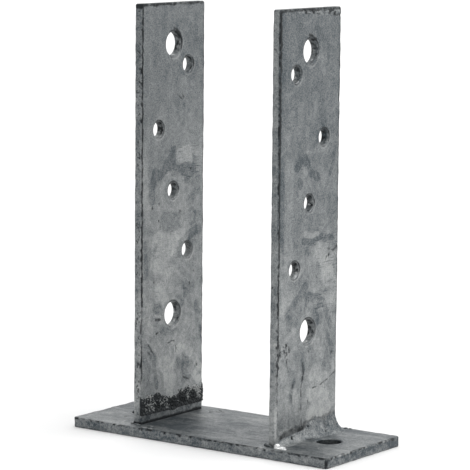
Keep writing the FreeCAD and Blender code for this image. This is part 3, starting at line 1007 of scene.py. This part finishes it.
    def tones(self, bearing, pits):
        """The bright and stain masks: the marks in front, loose mottling elsewhere, and painted
        highlights on the holes' lower rims, the burr's crests and the right bar's near corner.
        """
        loose = self.noise(15.0, 41, 3)
        marks = LEFT_MARKS if self.left else RIGHT_MARKS
        bright, stain = strokes(self.flat, marks, self.seed + 43)
        if self.left:
            torn = fade(layers(self.flat, 3.0, self.seed + 77, 2), 0.0, 0.25)
            stain = np.maximum(stain, fade(self.z, 12, 11) * torn)
        stain = np.where(self.front, stain, np.where(self.wall, 0.5, 0.9) * fade(loose, 0.1, 0.45))
        bright = np.where(self.front, bright,
                          np.where(self.wall, 0.4, 0.9) * fade(loose, -0.2, -0.5))
        below = fade(bearing @ (0.6, -0.8), 0.2, 0.8)
        # Painted highlight on each hole's lower rim, where light from above falls.
        rim_highlight = fade(np.abs(self.to_rim - 1.5), 1.0, 0.3) * below * self.front
        spatter = self.right * self.front * oval(self.flat, (5, 18), (5.5, 4.0), 1.1, 0.5)
        spatter = spatter * fade(self.wave(1.3, 63), 0.1, 0.5)
        flecks = self.cluster * fade(pits, -0.1, -0.35)
        bright = np.maximum.reduce([bright, 0.9 * rim_highlight, spatter, flecks, self.burr_highlight(),
                                    self.corner_highlight()])
        return bright, stain

    def burr_highlight(self):
        """Painted highlight on the crests of the burr."""
        return self.burr * fade(self.grit, -0.05, -0.25)

    def corner_highlight(self):
        """A painted highlight on the right bar's near corner, low down."""
        inset = self.high[0] - self.x
        corner = fade(self.y, self.low[1] + 1, self.low[1] + 0.4) * fade(inset, 1.9, 0.9)
        return self.right * corner * window(self.z, 9, 11, 24, 34)

    def glint(self):
        """Painted highlights: lower rims, flecks in the bores, the burr and the near corner."""
        rims = fade(self.to_rim, 0.9, 0.5) * fade(self.up_facing, 0.3, 0.7)
        rims *= self.front * (self.to_edge > 2) * (0.55 + 0.9 * self.speckle)
        flecks = self.bore * (self.up_facing > -0.5) * fade(self.speckle, 0.25, 0.5)
        burr = self.burr_highlight() * fade(self.crumb, 0.1, 0.4)
        return np.maximum(0.5 * np.maximum.reduce([rims, flecks, burr]),
                          0.35 * self.corner_highlight())

    def brushed(self):
        """Where short level scratches lie on the front."""
        y, z = self.flat.T
        if self.right:
            return self.front * fade(y, 2, 12) * window(z, 70, 82, 116, 130)
        upper = fade(y, 3, 7) * window(z, 142, 148, 164, 172)
        middle = 0.6 * fade(np.abs(y + 1), 19, 12) * window(z, 88, 96, 120, 130)
        return self.front * np.maximum(upper, middle)

    def shade(self):
        """How far the coat is darkened evenly, most towards the top."""
        if self.left:
            upper = np.where(self.wall, 0.25 + 0.25 * fade(self.z, 60, 200),
                             0.25 * fade(self.z, 165, 195))
            return np.maximum(upper, 0.4 * self.front * fade(self.z, 11.5, 10.0))
        upper = np.where(self.wall, 0.08, 0.06 + 0.38 * fade(self.z, 95, 150))
        return upper + 0.4 * self.front * fade(self.y, -22, -29) * fade(self.z, 90, 160)

    def masks(self):
        """Every mask of the bar's finish."""
        bearing, pits = self.hole_bearing(), self.noise(1.1, 79)
        bright, stain = self.tones(bearing, pits)
        # Painted shade along edges, in bores, under the top, at the foot and in creases, with dark
        # dots on the wall and in the pit cluster.
        soot = np.maximum.reduce([
            self.corner_shade(), self.wall_shade_and_dots(), self.hole_shade(bearing), self.top_shade(),
            self.foot_shade(), 0.95 * self.scar, 0.95 * self.cluster * fade(pits, 0.12, 0.35)])
        crumbs = self.left * self.front * fade(self.z, 24, 17.5) * (self.z > 15)
        pore = np.maximum.reduce([self.cluster, crumbs, 0.55 * self.wall])
        return {"stain": stain, "bright": bright, "soot": soot, "brushed": self.brushed(),
                "pore": pore, "shade": self.shade(), "glint": self.glint()}


def make_bar(label, side, sizes):
    """One upright: the drilled flat bar under an uneven coat of zinc."""
    skin = BarSkin(label, side, sizes)
    points = skin.points + skin.normals * skin.coat()[:, None]
    points[:, 2] = np.minimum(points[:, 2], skin.high[2])
    return add_piece(label + "_bar", points, skin.faces, skin.masks(),
                     shared_material("bar_coat"), [label + "_upright"])


class OBJECT_OT_post_base_bars(bpy.types.Operator):
    """Lay the uneven zinc coat over the two upright bars"""
    bl_idname = "post_base.bars"
    bl_label = "Upright Bars"

    def execute(self, context):
        for label, side in SIDES:
            make_bar(label, side, context.scene.post_base_sizes)
        return {"FINISHED"}


# ---------------------------------------------------------------- plate

def bare_plate(low, high, holes, sizes):
    """The plate's slab, laid out as (x, y) across its top and z through it."""
    reach = holes[0, 2] + 2.0
    blocks = [((x - reach, x + reach), (y - reach, y + reach)) for x, y, _ in holes]
    arc = arc_steps(sizes.edge_round / MM)
    more = np.array([1.3, 2.0, 3.0])
    stops = []
    for axis in (0, 1):
        ends = [low[axis] + arc, high[axis] - arc, low[axis] + more, high[axis] - more]
        stops.append(np.concatenate(ends + [np.ravel([block[axis] for block in blocks])]))
    us, vs = (spread(stop, sizes.plate_step / MM) for stop in stops)
    return Slab(us, vs, holes, blocks, (low[2], high[2]), sizes, sizes.plate_corner / MM,
                list(itertools.product((-1, 1), repeat=2)), False)


class PlateSkin(Skin):
    """The base plate's surface. Its front is its top."""

    def __init__(self, sizes):
        self.low, self.high = box_mm("base_plate")
        self.sizes = sizes
        slab = bare_plate(self.low, self.high, plate_holes(), sizes)
        super().__init__(slab, slab.points, 90)
        flat = self.points[:, :2]
        self.dross = self.front * np.maximum(oval(flat, (-36, -32), (9, 7), 1.0, 0.4),
                                             oval(flat, (-33, 27), (5, 5), 1.0, 0.5))
        self.crumbs = self.noise(1.7, 83)
        self.end_wall = self.x > self.high[0] - 2

    def coat(self):
        """The coat's height: waves, runs along the plate, beads, rings and dross.

        The edges are bitten into, and the wall stands back a little, so that the plate keeps
        its size.
        """
        sizes = self.sizes
        height = sizes.coat_wave / MM * self.noise(30.0, 0, 4)
        height += sizes.plate_run / MM * self.noise(3.5, 5, 3, (7, 1, 1))
        height += sizes.wall_lump / MM * self.noise(2.4, 13) * self.wall
        bites = np.maximum(self.wave(3.2, 15), 0) * fade(self.to_edge, 1.0, 0.2)
        height -= sizes.edge_bite / MM * bites
        height += sizes.edge_bead / MM * self.noise(6.0, 11, 3) * fade(self.to_edge, 2.2, 0.2)
        height += sizes.rim_bead / MM * self.rim_ring()
        height += sizes.dross / MM * self.dross * np.maximum(self.noise(2.2, 17), -0.1)
        set_back = fade(self.z, self.high[2] - 0.1, self.high[2] - 1.0)
        return height - sizes.wall_inset / MM * set_back

    def edge_shade(self):
        """Painted shade along the edges: crumbs on top, and a torn lip and a foot line on the wall.
        """
        heavy = 0.55 + 0.25 * self.noise(9.0, 31) + 1.3 * self.crumbs
        wobble = self.to_edge + 0.6 * self.wave(2.6, 35)
        broad = fade(wobble, 1.5, 0.5) * heavy * np.where(self.front, 0.95, 0.4)
        foot_line = fade(self.z, 0.9, 0.4) * fade(self.crumbs, -0.1, 0.4)
        torn = self.z + 0.9 * self.crumbs + 0.7 * self.wave(4.3, 61)
        lip = fade(torn, 4.8, 5.5) * (0.7 + 0.8 * self.wave(2.3, 63))
        return np.where(self.wall, np.maximum(lip, 0.8 * foot_line), broad)

    def joint_shade(self):
        """Painted shade in the joints along the two bars' inner feet."""
        joint = np.zeros(len(self.points))
        for label, side in SIDES:
            low, high = box_mm(label + "_upright")
            inner_face = min(abs(low[0]), abs(high[0]))
            away = np.abs(self.x - side * (inner_face - 0.2))
            along = fade(np.abs(self.y), high[1] + 1, high[1] - 1)
            joint = np.maximum(joint, self.front * along * fade(away, 0.9, 0.2))
        return joint

    def soot(self):
        """Painted shade on the edges and corners and in the bores and joints, and dark flecks in
        the dross.
        """
        corners = np.hypot(np.abs(self.x) - self.high[0], np.abs(self.y) - self.high[1])
        return np.maximum.reduce([
            self.edge_shade(), self.joint_shade(), 0.72 * fade(self.to_rim, 0.35, 0.0),
            fade(corners, 2.4, 1.1) * (0.75 + 0.8 * self.crumbs),
            0.8 * self.dross * fade(self.crumbs, 0.1, 0.5)])

    def masks(self):
        """Every mask of the plate's finish. Long smears lie along its top."""
        bent = self.points + 6 * self.noise(20.0, 45)[:, None]
        smear = layers(bent / (4, 1, 1), 8.0, self.seed + 43, 3)
        grit = self.noise(1.3, 47)
        worn = np.maximum(0.45 * fade(grit, 0.05, 0.4),
                          self.end_wall * fade(self.noise(5.0, 49), 0.0, 0.25))
        bright = np.where(self.wall, 0.45 * fade(grit, -0.1, -0.4), 0.8 * fade(smear, -0.05, -0.4))
        return {"stain": np.where(self.wall, worn, 0.85 * fade(smear, 0.05, 0.4)),
                "bright": np.maximum(bright, 0.8 * self.dross * fade(self.crumbs, -0.1, -0.5)),
                "soot": self.soot(),
                "pore": np.where(self.wall, 0.3, 0.3 * self.dross),
                "shade": np.where(self.wall, 0.4 * self.end_wall, 0.06 * self.front)}


def make_plate(sizes):
    """The base plate under its coat, with dross on top and beads along its edges."""
    skin = PlateSkin(sizes)
    points = skin.points + skin.normals * skin.coat()[:, None]
    points = np.clip(points, skin.low, (*skin.high[:2], np.inf))
    return add_piece("plate", points, skin.faces, skin.masks(), shared_material("plate_coat"),
                     ["base_plate"])


class OBJECT_OT_post_base_plate(bpy.types.Operator):
    """Lay the uneven zinc coat over the base plate"""
    bl_idname = "post_base.plate"
    bl_label = "Base Plate"

    def execute(self, context):
        make_plate(context.scene.post_base_sizes)
        return {"FINISHED"}


# ---------------------------------------------------------------- welds

def closed_tube(sections):
    """Quads and end caps of a row of closed sections, each cap a fan about its middle.

    A section runs counter-clockwise as seen from where the row goes to.
    """
    count, around = sections.shape[:2]
    index = np.arange(count * around).reshape(count, around)
    middles = sections[[0, -1]].mean(axis=1)
    points = np.concatenate([sections.reshape(-1, 3), middles])
    quads = strips(index)[:, ::-1]
    caps = []
    for ring, tip in ((index[0], count * around), (index[-1][::-1], count * around + 1)):
        ahead = np.roll(ring, -1)
        caps.append(np.column_stack([ring, ahead, np.full(around, tip)]))
    return points, quads, np.concatenate(caps)


# Stations along a weld, from its near end: place along the bar, leg up it, leg out.
RIGHT_WELD = [
    (-29.2, 1.6, 1.6), (-28.0, 3.8, 3.8), (-25.5, 5.4, 5.4), (-21.5, 6.6, 6.0),
    (-17.0, 7.1, 6.0), (-11.0, 7.5, 5.6), (-6.0, 8.4, 5.4), (0.0, 8.8, 5.6), (5.0, 9.9, 6.4),
    (8.2, 10.4, 7.0), (9.2, 12.0, 7.2), (10.6, 10.0, 7.2), (16.0, 9.3, 7.6), (21.0, 9.9, 8.2),
    (25.0, 10.7, 8.6), (28.0, 11.4, 8.6), (29.6, 11.2, 8.4)]
LEFT_WELD = [
    (-29.0, 1.2, 1.4), (-27.0, 4.6, 4.2), (-22.0, 6.8, 5.4), (-14.0, 7.4, 5.6),
    (-5.0, 6.6, 5.2), (4.0, 7.0, 5.6), (12.0, 7.8, 5.8), (20.0, 7.2, 5.6), (26.0, 6.4, 5.2),
    (28.6, 3.4, 3.0)]

# Pits in the right weld's face: place along the bar, share of the way up the face, radius.
WELD_PITS = [(-15.2, 0.60, 1.3), (-19.0, 0.88, 1.2), (-17.4, 0.90, 1.0)]

# How far a weld's back stands inside the steel.
WELD_INSET = 0.5


class Bead:
    """One weld's face, as a grid of places along the bar by shares s of the way up.

    With s from 0 at the plate's toe to 1 at the bar's toe, the face lies (1 - s)^p of a leg
    out and s^p of a leg up, with p above 1 so that it is hollow. The right weld's near half
    is the most hollow, and is smooth but for its pits and an undercut along the bar's toe.
    """

    # The grid, and how far the face may dip into the steel.
    STEP = 0.26
    ROWS = 56
    LOWEST = -0.15

    def __init__(self, side, sizes):
        self.right, self.sizes, self.seed = side > 0, sizes, 60 + side
        stations = np.array(RIGHT_WELD if self.right else LEFT_WELD)
        self.y = spread([stations[0, 0], stations[-1, 0]], self.STEP)
        self.up, self.out = (self.soften(np.interp(self.y, stations[:, 0], stations[:, leg]))
                             for leg in (1, 2))
        self.s = np.linspace(0, 1, self.ROWS)
        power = (1.55 + 0.5 * self.right * fade(self.y, 4, -8))[:, None]
        out = (1 - self.s) ** power * self.out[:, None]
        up = self.s ** power * self.up[:, None]
        self.along = np.broadcast_to(self.y[:, None], out.shape)
        self.face = np.stack([out, up], -1)
        self.grid = np.stack([out, self.along, up], -1)
        self.lump = self.noise(4.4, 0, 4) + 0.35 * self.noise(1.5, 7)
        self.pit = self.right * self.pits()
        self.gully = self.right * self.undercut()

    @staticmethod
    def soften(leg):
        """A leg's length evened out over nine neighbours."""
        weights = np.hanning(9) / np.hanning(9).sum()
        return np.convolve(np.pad(leg, 4, "edge"), weights, "valid")

    def noise(self, size, number, count=2):
        """Layered noise over the face. The number picks a pattern."""
        return layers(self.grid, size, self.seed + number, count)

    def pits(self):
        """How deep each place lies in a pit, from 0 to 1."""
        depth = np.zeros(self.along.shape)
        for place, share, radius in WELD_PITS:
            away = np.hypot(self.along - place, 9.0 * (self.s - share)) / radius
            depth = np.maximum(depth, fade(away + 0.25 * self.lump, 1.0, 0.5))
        return depth

    def undercut(self):
        """How deep each place lies in the gully along the bar's toe, from 0 to 1."""
        middle = 0.91 + 0.06 * self.noise(5.0, 31)
        depth = fade(np.abs(self.s - middle), 0.2, 0.07) * window(self.along, -29, -25, -3, 3)
        return depth * np.clip(0.85 + 0.9 * self.lump, 0.15, 1)

    def relief(self):
        """How far the lumps and faint ripples stand out, less the pits and the undercut."""
        sizes = self.sizes
        bow = 1.6 * np.sin(math.pi * self.s) ** 2
        ripple = np.cos(2 * math.pi * (self.along + bow) / 2.7)
        rough = 0.6 + 0.8 * fade(self.along, -4, 6) if self.right else 0.7
        height = sizes.weld_lump / MM * self.lump * rough + (0.05 if self.right else 0.1) * ripple
        height *= window(self.s, 0, 0.16, 0.86, 1)
        return height - sizes.weld_pit / MM * self.pit - sizes.undercut / MM * self.gully

    def outline(self):
        """The bead's closed sections as (out, up), shrinking into its far end."""
        ahead = np.diff(self.face, axis=1, append=2 * self.face[:, -1:] - self.face[:, -2:-1])
        outward = np.stack([ahead[..., 1], -ahead[..., 0]], -1)
        outward /= np.maximum(np.linalg.norm(outward, axis=-1, keepdims=True), 1e-9)
        face = np.maximum(self.face + outward * self.relief()[..., None], self.LOWEST)
        inset, nought = np.full_like(self.y, -WELD_INSET), 0 * self.y
        back = np.array([(inset, self.up), (inset, self.up / 2), (inset, inset),
                         (nought, inset), (self.out / 2, inset), (self.out, inset)])
        loop = np.concatenate([face, np.moveaxis(back, -1, 0)], axis=1)
        to_end = (self.y[-1] - self.y) / 0.6
        end = np.minimum(1.0, np.sqrt(np.clip(to_end, 0, 1)) + 0.04)
        return np.where(loop > 0, loop * end[:, None, None], loop)

    def all_round(self, mask, count):
        """A mask of the face carried round the tube, nought on its back and its caps."""
        full = np.zeros((len(self.y), count))
        full[:, :len(self.s)] = mask
        if self.right:
            full = full[:, ::-1]
        return np.concatenate([full.ravel(), [0, 0]])

    def masks(self):
        """The masks of the face: painted shade in its hollows and at the bar's toe, and lumps
        painted lighter on their crests.
        """
        hollows = np.maximum(self.pit, 0.97 * self.gully)
        seam = fade(self.s, 0.93, 0.99) * (0.55 + 0.8 * self.lump)
        # Painted shade in the pits, the undercut, the seam at the bar's toe and the lumps' hollows.
        soot = np.maximum.reduce([hollows, 0.9 * seam, 0.4 * fade(self.lump, -0.1, -0.5)])
        # Painted highlight: lump crests are painted lighter.
        light = 0.9 * fade(self.lump, 0.05, 0.4)
        shade = 0.15
        if self.right:
            smooth = fade(self.along, -3, -8) * fade(self.s, 0.8, 0.6)
            light = np.maximum(light * (1 - smooth), 0.65 * smooth)
            soot = np.where(smooth > 0.5, hollows, soot)
            shade = 0.12 * fade(self.along, -6, -1) + 0.22 * fade(self.s, 0.5, 0.8)
            places = np.stack([self.along, np.broadcast_to(self.s, self.along.shape)], -1)
            dark_toe = oval(places, (-3, 0.12), (4, 0.16), 1.1, 0.5)
            soot = np.maximum(soot, 0.7 * dark_toe * fade(self.lump, 0.2, -0.1))
        return {"stain": 0.6 * fade(self.noise(8.0, 20), 0.0, 0.4), "bright": light,
                "soot": soot, "shade": shade, "pore": 0.35 * fade(self.along, -4, 2)}


def make_weld(label, side, sizes):
    """A fillet weld under zinc along a bar's outer foot."""
    low, high = box_mm(label + "_upright")
    plate_top = box_mm("base_plate")[1][2]
    outer_face = max(abs(low[0]), abs(high[0]))
    bead = Bead(side, sizes)
    loop = bead.outline()
    sections = np.stack([side * (outer_face + loop[..., 0]),
                         np.broadcast_to(bead.y[:, None], loop.shape[:2]),
                         plate_top + loop[..., 1]], -1)
    if side > 0:
        sections = sections[:, ::-1]
    points, quads, caps = closed_tube(sections)
    masks = {name: bead.all_round(mask, loop.shape[1]) for name, mask in bead.masks().items()}
    return add_piece(label + "_bead", points, quads.tolist() + caps.tolist(), masks,
                     shared_material("weld_coat"), [label + "_weld"])


class OBJECT_OT_post_base_welds(bpy.types.Operator):
    """Run a lumpy weld bead along each bar's outer foot"""
    bl_idname = "post_base.welds"
    bl_label = "Weld Beads"

    def execute(self, context):
        for label, side in SIDES:
            make_weld(label, side, context.scene.post_base_sizes)
        return {"FINISHED"}


# ---------------------------------------------------------------- crust

# The crust's top line: place across the bar, height over the bar's foot.
CRUST_TOP = [(-31, 16.6), (-22, 16.8), (-8, 15.2), (-3, 12.6), (6, 13.2), (14, 15.6),
             (24, 15.0), (32, 14.4)]


def make_crust(sizes):
    """The porous crust of ash across the left bar's inner foot.

    A patch between a wavy lower and a ragged upper line, thick by the crust's depth, less two
    cell patterns of pores, and drawn down to the steel at its border. Its lower edge hangs
    down and out, and its back stands inside the steel.
    """
    low, high = box_mm("left_upright")
    inner_face, foot = high[0], low[2]
    step, rows, inset = 0.28, 64, 0.6
    y = spread([low[1] - 0.15, high[1] + 0.9], step)
    share = np.linspace(0, 1, rows)
    line = np.stack([y, 0 * y], -1)
    bottom = 4.9 + 0.5 * layers(line, 9.0, 7, 3)
    top = np.interp(y, *np.array(CRUST_TOP).T)
    top = top + 0.9 * layers(line, 5.0, 9, 3) + 1.3 * waves(line, 1.2, 13)
    rise = bottom[:, None] + (top - bottom)[:, None] * share
    flat = np.stack([np.broadcast_to(y[:, None], rise.shape), rise], -1)
    edge = window(y, y[0], y[0] + 0.8, y[-1] - 0.8, y[-1])[:, None]
    edge = edge * window(share, 0.0, 0.05, 0.9, 1.0)
    pores, fine = cells(flat, 1.5, 3) - 0.45, cells(flat, 0.8, 5) - 0.45
    thick = 0.45 + 0.5 * layers(flat, 3.4, 11, 3) + 0.8 * pores + 0.4 * fine
    hang = 0.7 * fade(share, 0.2, 0.03) * fade(y, 30.5, 28)[:, None]
    depth = sizes.crust_depth / MM * np.clip(thick + hang, 0.05, 1.6) * edge
    front = np.stack([inner_face + depth - 0.12 * (1 - edge), flat[..., 0],
                      foot + flat[..., 1] - hang * edge], -1)
    back = front.copy()
    back[..., 0] = inner_face - inset
    index = np.arange(rise.size).reshape(rise.shape)
    border, quads = loop_of(index), grid_quads(index).reshape(-1, 4)
    points = np.concatenate([front.reshape(-1, 3), back.reshape(-1, 3)])
    faces = np.concatenate([quads[:, ::-1], quads + index.size,
                            strips(np.vstack([border, border + index.size]))])
    # Low crest is painted shade, near black in the pores' hollows and along the crust's lower edge;
    # high crest is dusty grey.
    crest = 0.40 + 1.0 * pores + 0.9 * fine + 0.8 * layers(flat, 5.0, 15, 2)
    crest += 0.34 * fade(y, -12, -22)[:, None]
    crest += 0.3 * fade(y, 6, 14)[:, None] * fade(share, 0.3, 0.6)
    crest = np.clip(crest, 0.1, 1) * fade(share, 0.06, 0.16)
    return add_piece("left_crust", points, faces, {"crest": np.tile(crest.ravel(), 2)},
                     shared_material("crust_ash"))


class OBJECT_OT_post_base_crust(bpy.types.Operator):
    """Lay the porous ash crust on the left bar's inner foot"""
    bl_idname = "post_base.crust"
    bl_label = "Ash Crust"

    def execute(self, context):
        make_crust(context.scene.post_base_sizes)
        return {"FINISHED"}


# ---------------------------------------------------------------- drops

# Drops of zinc on the plate and at the bars' feet: x, y, height of the middle above the
# plate's top, half sizes along x, y and z, and how bright the drop is; above 1 it carries a
# painted glint highlight.
DROPS = [
    (54.2, -31.0, -0.2, 3.2, 2.4, 1.4, 1.6), (51.9, -30.8, 0.2, 1.7, 1.6, 2.2, 1.5),
    (57.2, -32.2, -0.2, 2.0, 1.5, 0.7, 1.3), (53.0, -32.6, -0.1, 2.0, 1.2, 0.9, 1.4),
    (46.4, -31.4, 0.1, 2.6, 1.2, 1.1, 0.1), (44.0, -30.4, 0.2, 1.0, 1.1, 1.1, 0.0),
    (49.6, -31.2, 0.2, 1.0, 0.8, 1.0, 0.0), (-51.2, -30.4, 0.3, 0.9, 0.9, 0.9, 1.0),
    (-47.0, -30.9, 0.0, 2.4, 0.8, 0.6, 0.3), (54.2, 35.6, 0.0, 1.5, 1.0, 0.7, 0.7),
    (57.2, 35.8, 0.0, 1.2, 0.8, 0.5, 0.7), (-38.5, -35.2, 0.0, 2.2, 1.2, 0.5, 0.9),
    (-34.0, -35.6, 0.0, 1.7, 1.0, 0.4, 0.9), (-36.4, -31.0, 0.0, 1.2, 1.0, 0.4, 0.6),
    (-31.6, 27.6, -0.1, 1.6, 1.4, 0.5, 0.3), (-34.0, 23.6, -0.1, 1.5, 1.3, 0.4, 0.3),
    (-29.4, 29.4, -0.1, 1.4, 1.2, 0.4, 0.4), (-32.4, 31.6, -0.1, 1.5, 1.2, 0.4, 0.4),
    (-36.2, 26.6, -0.1, 1.3, 1.2, 0.4, 0.3), (71.0, -18.0, -0.1, 1.0, 1.1, 0.4, 0.6),
    (-66.5, -17.5, -0.1, 0.9, 0.9, 0.4, 0.5)]


def make_drops():
    """The drops and spatter, each an ellipsoid bent by noise: one piece of many shells.

    The dullest drops are stained and dark all over, the others have painted shade at their
    feet, and the brightest carry a painted glint highlight and no painted shade at their feet.
    """
    plate_top = box_mm("base_plate")[1][2]
    around, rows = 28, 13
    turn = np.linspace(0, 2 * math.pi, around, endpoint=False)
    tilt = np.linspace(0, math.pi, rows + 2)[1:-1, None]
    ball = np.stack([np.sin(tilt) * np.cos(turn), np.sin(tilt) * np.sin(turn),
                     np.cos(tilt) + 0 * turn], -1)
    points, faces, bright = [], [], []
    total = 0
    for number, (x, y, z, wide, deep, tall, shine) in enumerate(DROPS):
        swell = 1 + 0.22 * layers(ball * 1.4 + 9 * number, 1.0, 5, 2)
        shell = ball * swell[..., None] * (wide, deep, tall) + (x, y, plate_top + z)
        verts, quads, caps = closed_tube(shell)
        points.append(verts)
        faces += (quads + total).tolist() + (caps + total).tolist()
        bright.append(np.full(len(verts), shine))
        total += len(verts)
    points = np.concatenate(points)
    bright = np.concatenate(bright)
    dull = bright < 0.2
    # Painted shade at each drop's foot, and a darker tone on the dullest drops.
    soot = 0.8 * fade(points[:, 2], plate_top + 0.2, plate_top) + 0.55 * dull
    masks = {"stain": 0.7 * dull, "bright": bright, "soot": np.where(bright > 1.1, 0, soot),
             "glint": fade(bright, 1.0, 1.4)}
    return add_piece("zinc_drops", points, faces, masks, shared_material("weld_coat"))


class OBJECT_OT_post_base_drops(bpy.types.Operator):
    """Scatter the drops of zinc and weld spatter"""
    bl_idname = "post_base.drops"
    bl_label = "Zinc Drops"

    def execute(self, context):
        make_drops()
        return {"FINISHED"}


# ---------------------------------------------------------------- stage

def camera_matrix(stage):
    """Where the camera stands and how it is turned, from its angles, roll and distance."""
    turn, lift, roll = stage.azimuth, stage.elevation, stage.roll
    back = Vector((math.sin(turn) * math.cos(lift), -math.cos(turn) * math.cos(lift),
                   math.sin(lift)))
    right = Vector((math.cos(turn), math.sin(turn), 0.0))
    up = back.cross(right)
    tilted = math.cos(roll) * right + math.sin(roll) * up
    upright = math.cos(roll) * up - math.sin(roll) * right
    matrix = Matrix((tilted, upright, back)).transposed().to_4x4()
    matrix.translation = Vector(stage.target) + back * stage.distance
    return matrix


class OBJECT_OT_post_base_stage(bpy.types.Operator):
    """Set up the pale floor, the soft studio light and the camera"""
    bl_idname = "post_base.stage"
    bl_label = "Stage"

    def execute(self, context):
        scene = context.scene
        stage, colours = scene.post_base_stage, scene.post_base_colours
        material, nodes, output = new_material("floor_paint")
        surface = nodes.add("ShaderNodeBsdfPrincipled", Base_Color=opaque(colours.floor),
                            Roughness=0.9)
        nodes.tree.links.new(surface.outputs[0], output.inputs[0])
        mesh = bpy.data.meshes.new("floor")
        reach = stage.floor_reach
        mesh.from_pydata([(-reach, -reach, 0), (reach, -reach, 0), (reach, reach, 0),
                          (-reach, reach, 0)], [], [(0, 1, 2, 3)])
        mesh.materials.append(material)
        floor = bpy.data.objects.new("floor", mesh)
        scene.collection.objects.link(floor)

        world = bpy.data.worlds.new("studio")
        world.use_nodes = True
        scene.world = world
        nodes = Nodes(world.node_tree)
        toward = nodes.add("ShaderNodeTexCoord").outputs["Generated"]
        slope = nodes.add("ShaderNodeVectorMath", {"operation": "DOT_PRODUCT"}, n0=toward,
                          n1=tuple(stage.slope)).outputs["Value"]
        backing = world.node_tree.nodes["Background"]
        backing.inputs["Color"].default_value = (1.0, 1.0, 1.0, 1.0)
        nodes.tree.links.new(nodes.math("ADD", slope, stage.sky), backing.inputs["Strength"])

        lamp = bpy.data.lights.new("key", "SUN")
        lamp.energy = stage.key
        lamp.angle = stage.key_spread
        key = bpy.data.objects.new("key", lamp)
        key.rotation_euler = Vector(stage.key_from).to_track_quat("Z", "Y").to_euler()
        scene.collection.objects.link(key)

        lens = bpy.data.cameras.new("camera")
        lens.lens = stage.lens
        lens.sensor_width = 36.0
        lens.clip_start = 0.05
        lens.clip_end = 100.0
        camera = bpy.data.objects.new("camera", lens)
        camera.matrix_world = camera_matrix(stage)
        scene.collection.objects.link(camera)
        scene.camera = camera
        scene.view_settings.view_transform = "Standard"
        return {"FINISHED"}


# ---------------------------------------------------------------- panel and start

OPERATORS = (
    OBJECT_OT_post_base_stage,
    OBJECT_OT_post_base_plate,
    OBJECT_OT_post_base_bars,
    OBJECT_OT_post_base_welds,
    OBJECT_OT_post_base_crust,
    OBJECT_OT_post_base_drops,
)
GROUPS = {
    "post_base_sizes": PostBaseSizes,
    "post_base_colours": PostBaseColours,
    "post_base_stage": PostBaseStage,
}


class VIEW3D_PT_post_base(bpy.types.Panel):
    """Sizes, colours and build steps of the post base"""
    bl_idname = "VIEW3D_PT_post_base"
    bl_label = "Post Base"
    bl_space_type = "VIEW_3D"
    bl_region_type = "UI"
    bl_category = "Post Base"

    def draw(self, context):
        for operator in OPERATORS:
            self.layout.operator(operator.bl_idname)
        for name, group in GROUPS.items():
            box = self.layout.box()
            for field in group.__annotations__:
                box.prop(getattr(context.scene, name), field)


def register():
    for group in GROUPS.values():
        bpy.utils.register_class(group)
    for name, group in GROUPS.items():
        setattr(bpy.types.Scene, name, PointerProperty(type=group))
    for item in OPERATORS + (VIEW3D_PT_post_base,):
        bpy.utils.register_class(item)


def unregister():
    for item in (VIEW3D_PT_post_base,) + OPERATORS[::-1]:
        bpy.utils.unregister_class(item)
    for name, group in GROUPS.items():
        delattr(bpy.types.Scene, name)
        bpy.utils.unregister_class(group)


def main():
    """Register the add-on and build everything in order."""
    register()
    for operator in OPERATORS:
        family, name = operator.bl_idname.split(".")
        getattr(getattr(bpy.ops, family), name)()


if __name__ == "__main__":
    main()
